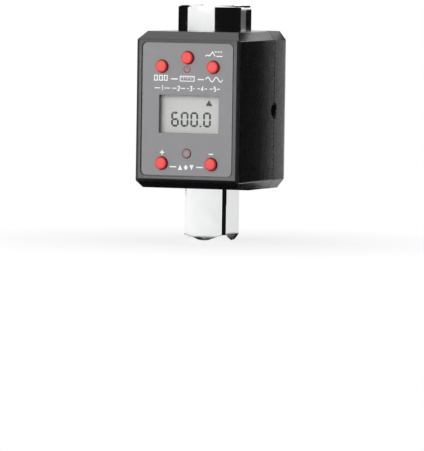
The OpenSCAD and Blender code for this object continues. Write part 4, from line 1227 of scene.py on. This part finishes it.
class ADAPTER_OT_studio(bpy.types.Operator):
    """Sets up the floor, the lamp, the cards and the camera"""
    bl_idname = "adapter.studio"
    bl_label = "Set up the studio"

    def execute(self, context):
        studio = context.scene.adapter_studio
        scene = context.scene
        scene.view_settings.view_transform = "Standard"
        light_world(studio.ambient)

        form = bmesh.new()
        bmesh.ops.create_circle(form, cap_ends=True, segments=96, radius=FLOOR_RADIUS)
        floor = bpy.data.objects.new("floor", mesh_of("floor", form))
        floor.data.materials.append(floor_finish(studio.floor_glow))
        scene.collection.objects.link(floor)

        felts = {name: card_finish(name, *values) for name, values in FELTS.items()}
        for felt, make, name, *values in CARDS:
            thing = make(name, *values)
            thing.data.materials.append(felts[felt])
            scene.collection.objects.link(thing)
            for kind in ("camera", "diffuse", "shadow", "transmission"):
                setattr(thing, "visible_" + kind, False)

        lamp = bpy.data.lights.new("large_lamp", "AREA")
        lamp.shape = "SQUARE"
        lamp.size = studio.lamp_size
        lamp.energy = studio.lamp_power
        lamp_object = bpy.data.objects.new("large_lamp", lamp)
        way = direction(studio.lamp_side, studio.lamp_rise)
        lamp_object.location = way * studio.lamp_far + Vector((0, 0, LAMP_AIM))
        lamp_object.rotation_euler = way.to_track_quat("Z", "Y").to_euler()
        scene.collection.objects.link(lamp_object)

        lens = bpy.data.cameras.new("camera")
        lens.lens = SENSOR_WIDTH * FOCAL_PIXELS / PICTURE_HEIGHT
        lens.clip_start, lens.clip_end = 0.05, 30
        camera = bpy.data.objects.new("camera", lens)
        camera.matrix_world = camera_place(studio)
        scene.collection.objects.link(camera)
        scene.camera = camera
        return {"FINISHED"}


class ADAPTER_PT_panel(bpy.types.Panel):
    """Lists the adapter's settings and steps"""
    bl_idname = "ADAPTER_PT_panel"
    bl_label = "Torque adapter"
    bl_space_type = "VIEW_3D"
    bl_region_type = "UI"
    bl_category = "Torque adapter"

    def draw(self, context):
        layout = self.layout
        for name, group in SETTINGS.items():
            box = layout.box()
            box.label(text=group.__doc__)
            for field in group.__annotations__:
                box.prop(getattr(context.scene, name), field)
        for step in STEPS:
            layout.operator(step.bl_idname)


SETTINGS = {
    "adapter_finish": FinishSettings,
    "adapter_edges": EdgeSettings,
    "adapter_marks": MarkSettings,
    "adapter_screws": ScrewSettings,
    "adapter_studio": StudioSettings,
}
STEPS = (ADAPTER_OT_finishes, ADAPTER_OT_shaft, ADAPTER_OT_housings, ADAPTER_OT_label,
         ADAPTER_OT_display, ADAPTER_OT_keys, ADAPTER_OT_inside, ADAPTER_OT_screws,
         ADAPTER_OT_studio)


def register():
    for kind in (*SETTINGS.values(), *STEPS, ADAPTER_PT_panel):
        bpy.utils.register_class(kind)
    for name, group in SETTINGS.items():
        setattr(bpy.types.Scene, name, bpy.props.PointerProperty(type=group))


def unregister():
    for name in SETTINGS:
        delattr(bpy.types.Scene, name)
    for kind in (ADAPTER_PT_panel, *STEPS[::-1], *list(SETTINGS.values())[::-1]):
        bpy.utils.unregister_class(kind)


def main():
    register()
    bpy.ops.adapter.finishes()
    bpy.ops.adapter.shaft()
    bpy.ops.adapter.housings()
    bpy.ops.adapter.label()
    bpy.ops.adapter.display()
    bpy.ops.adapter.keys()
    bpy.ops.adapter.inside()
    bpy.ops.adapter.screws()
    bpy.ops.adapter.studio()


if __name__ == "__main__":
    main()
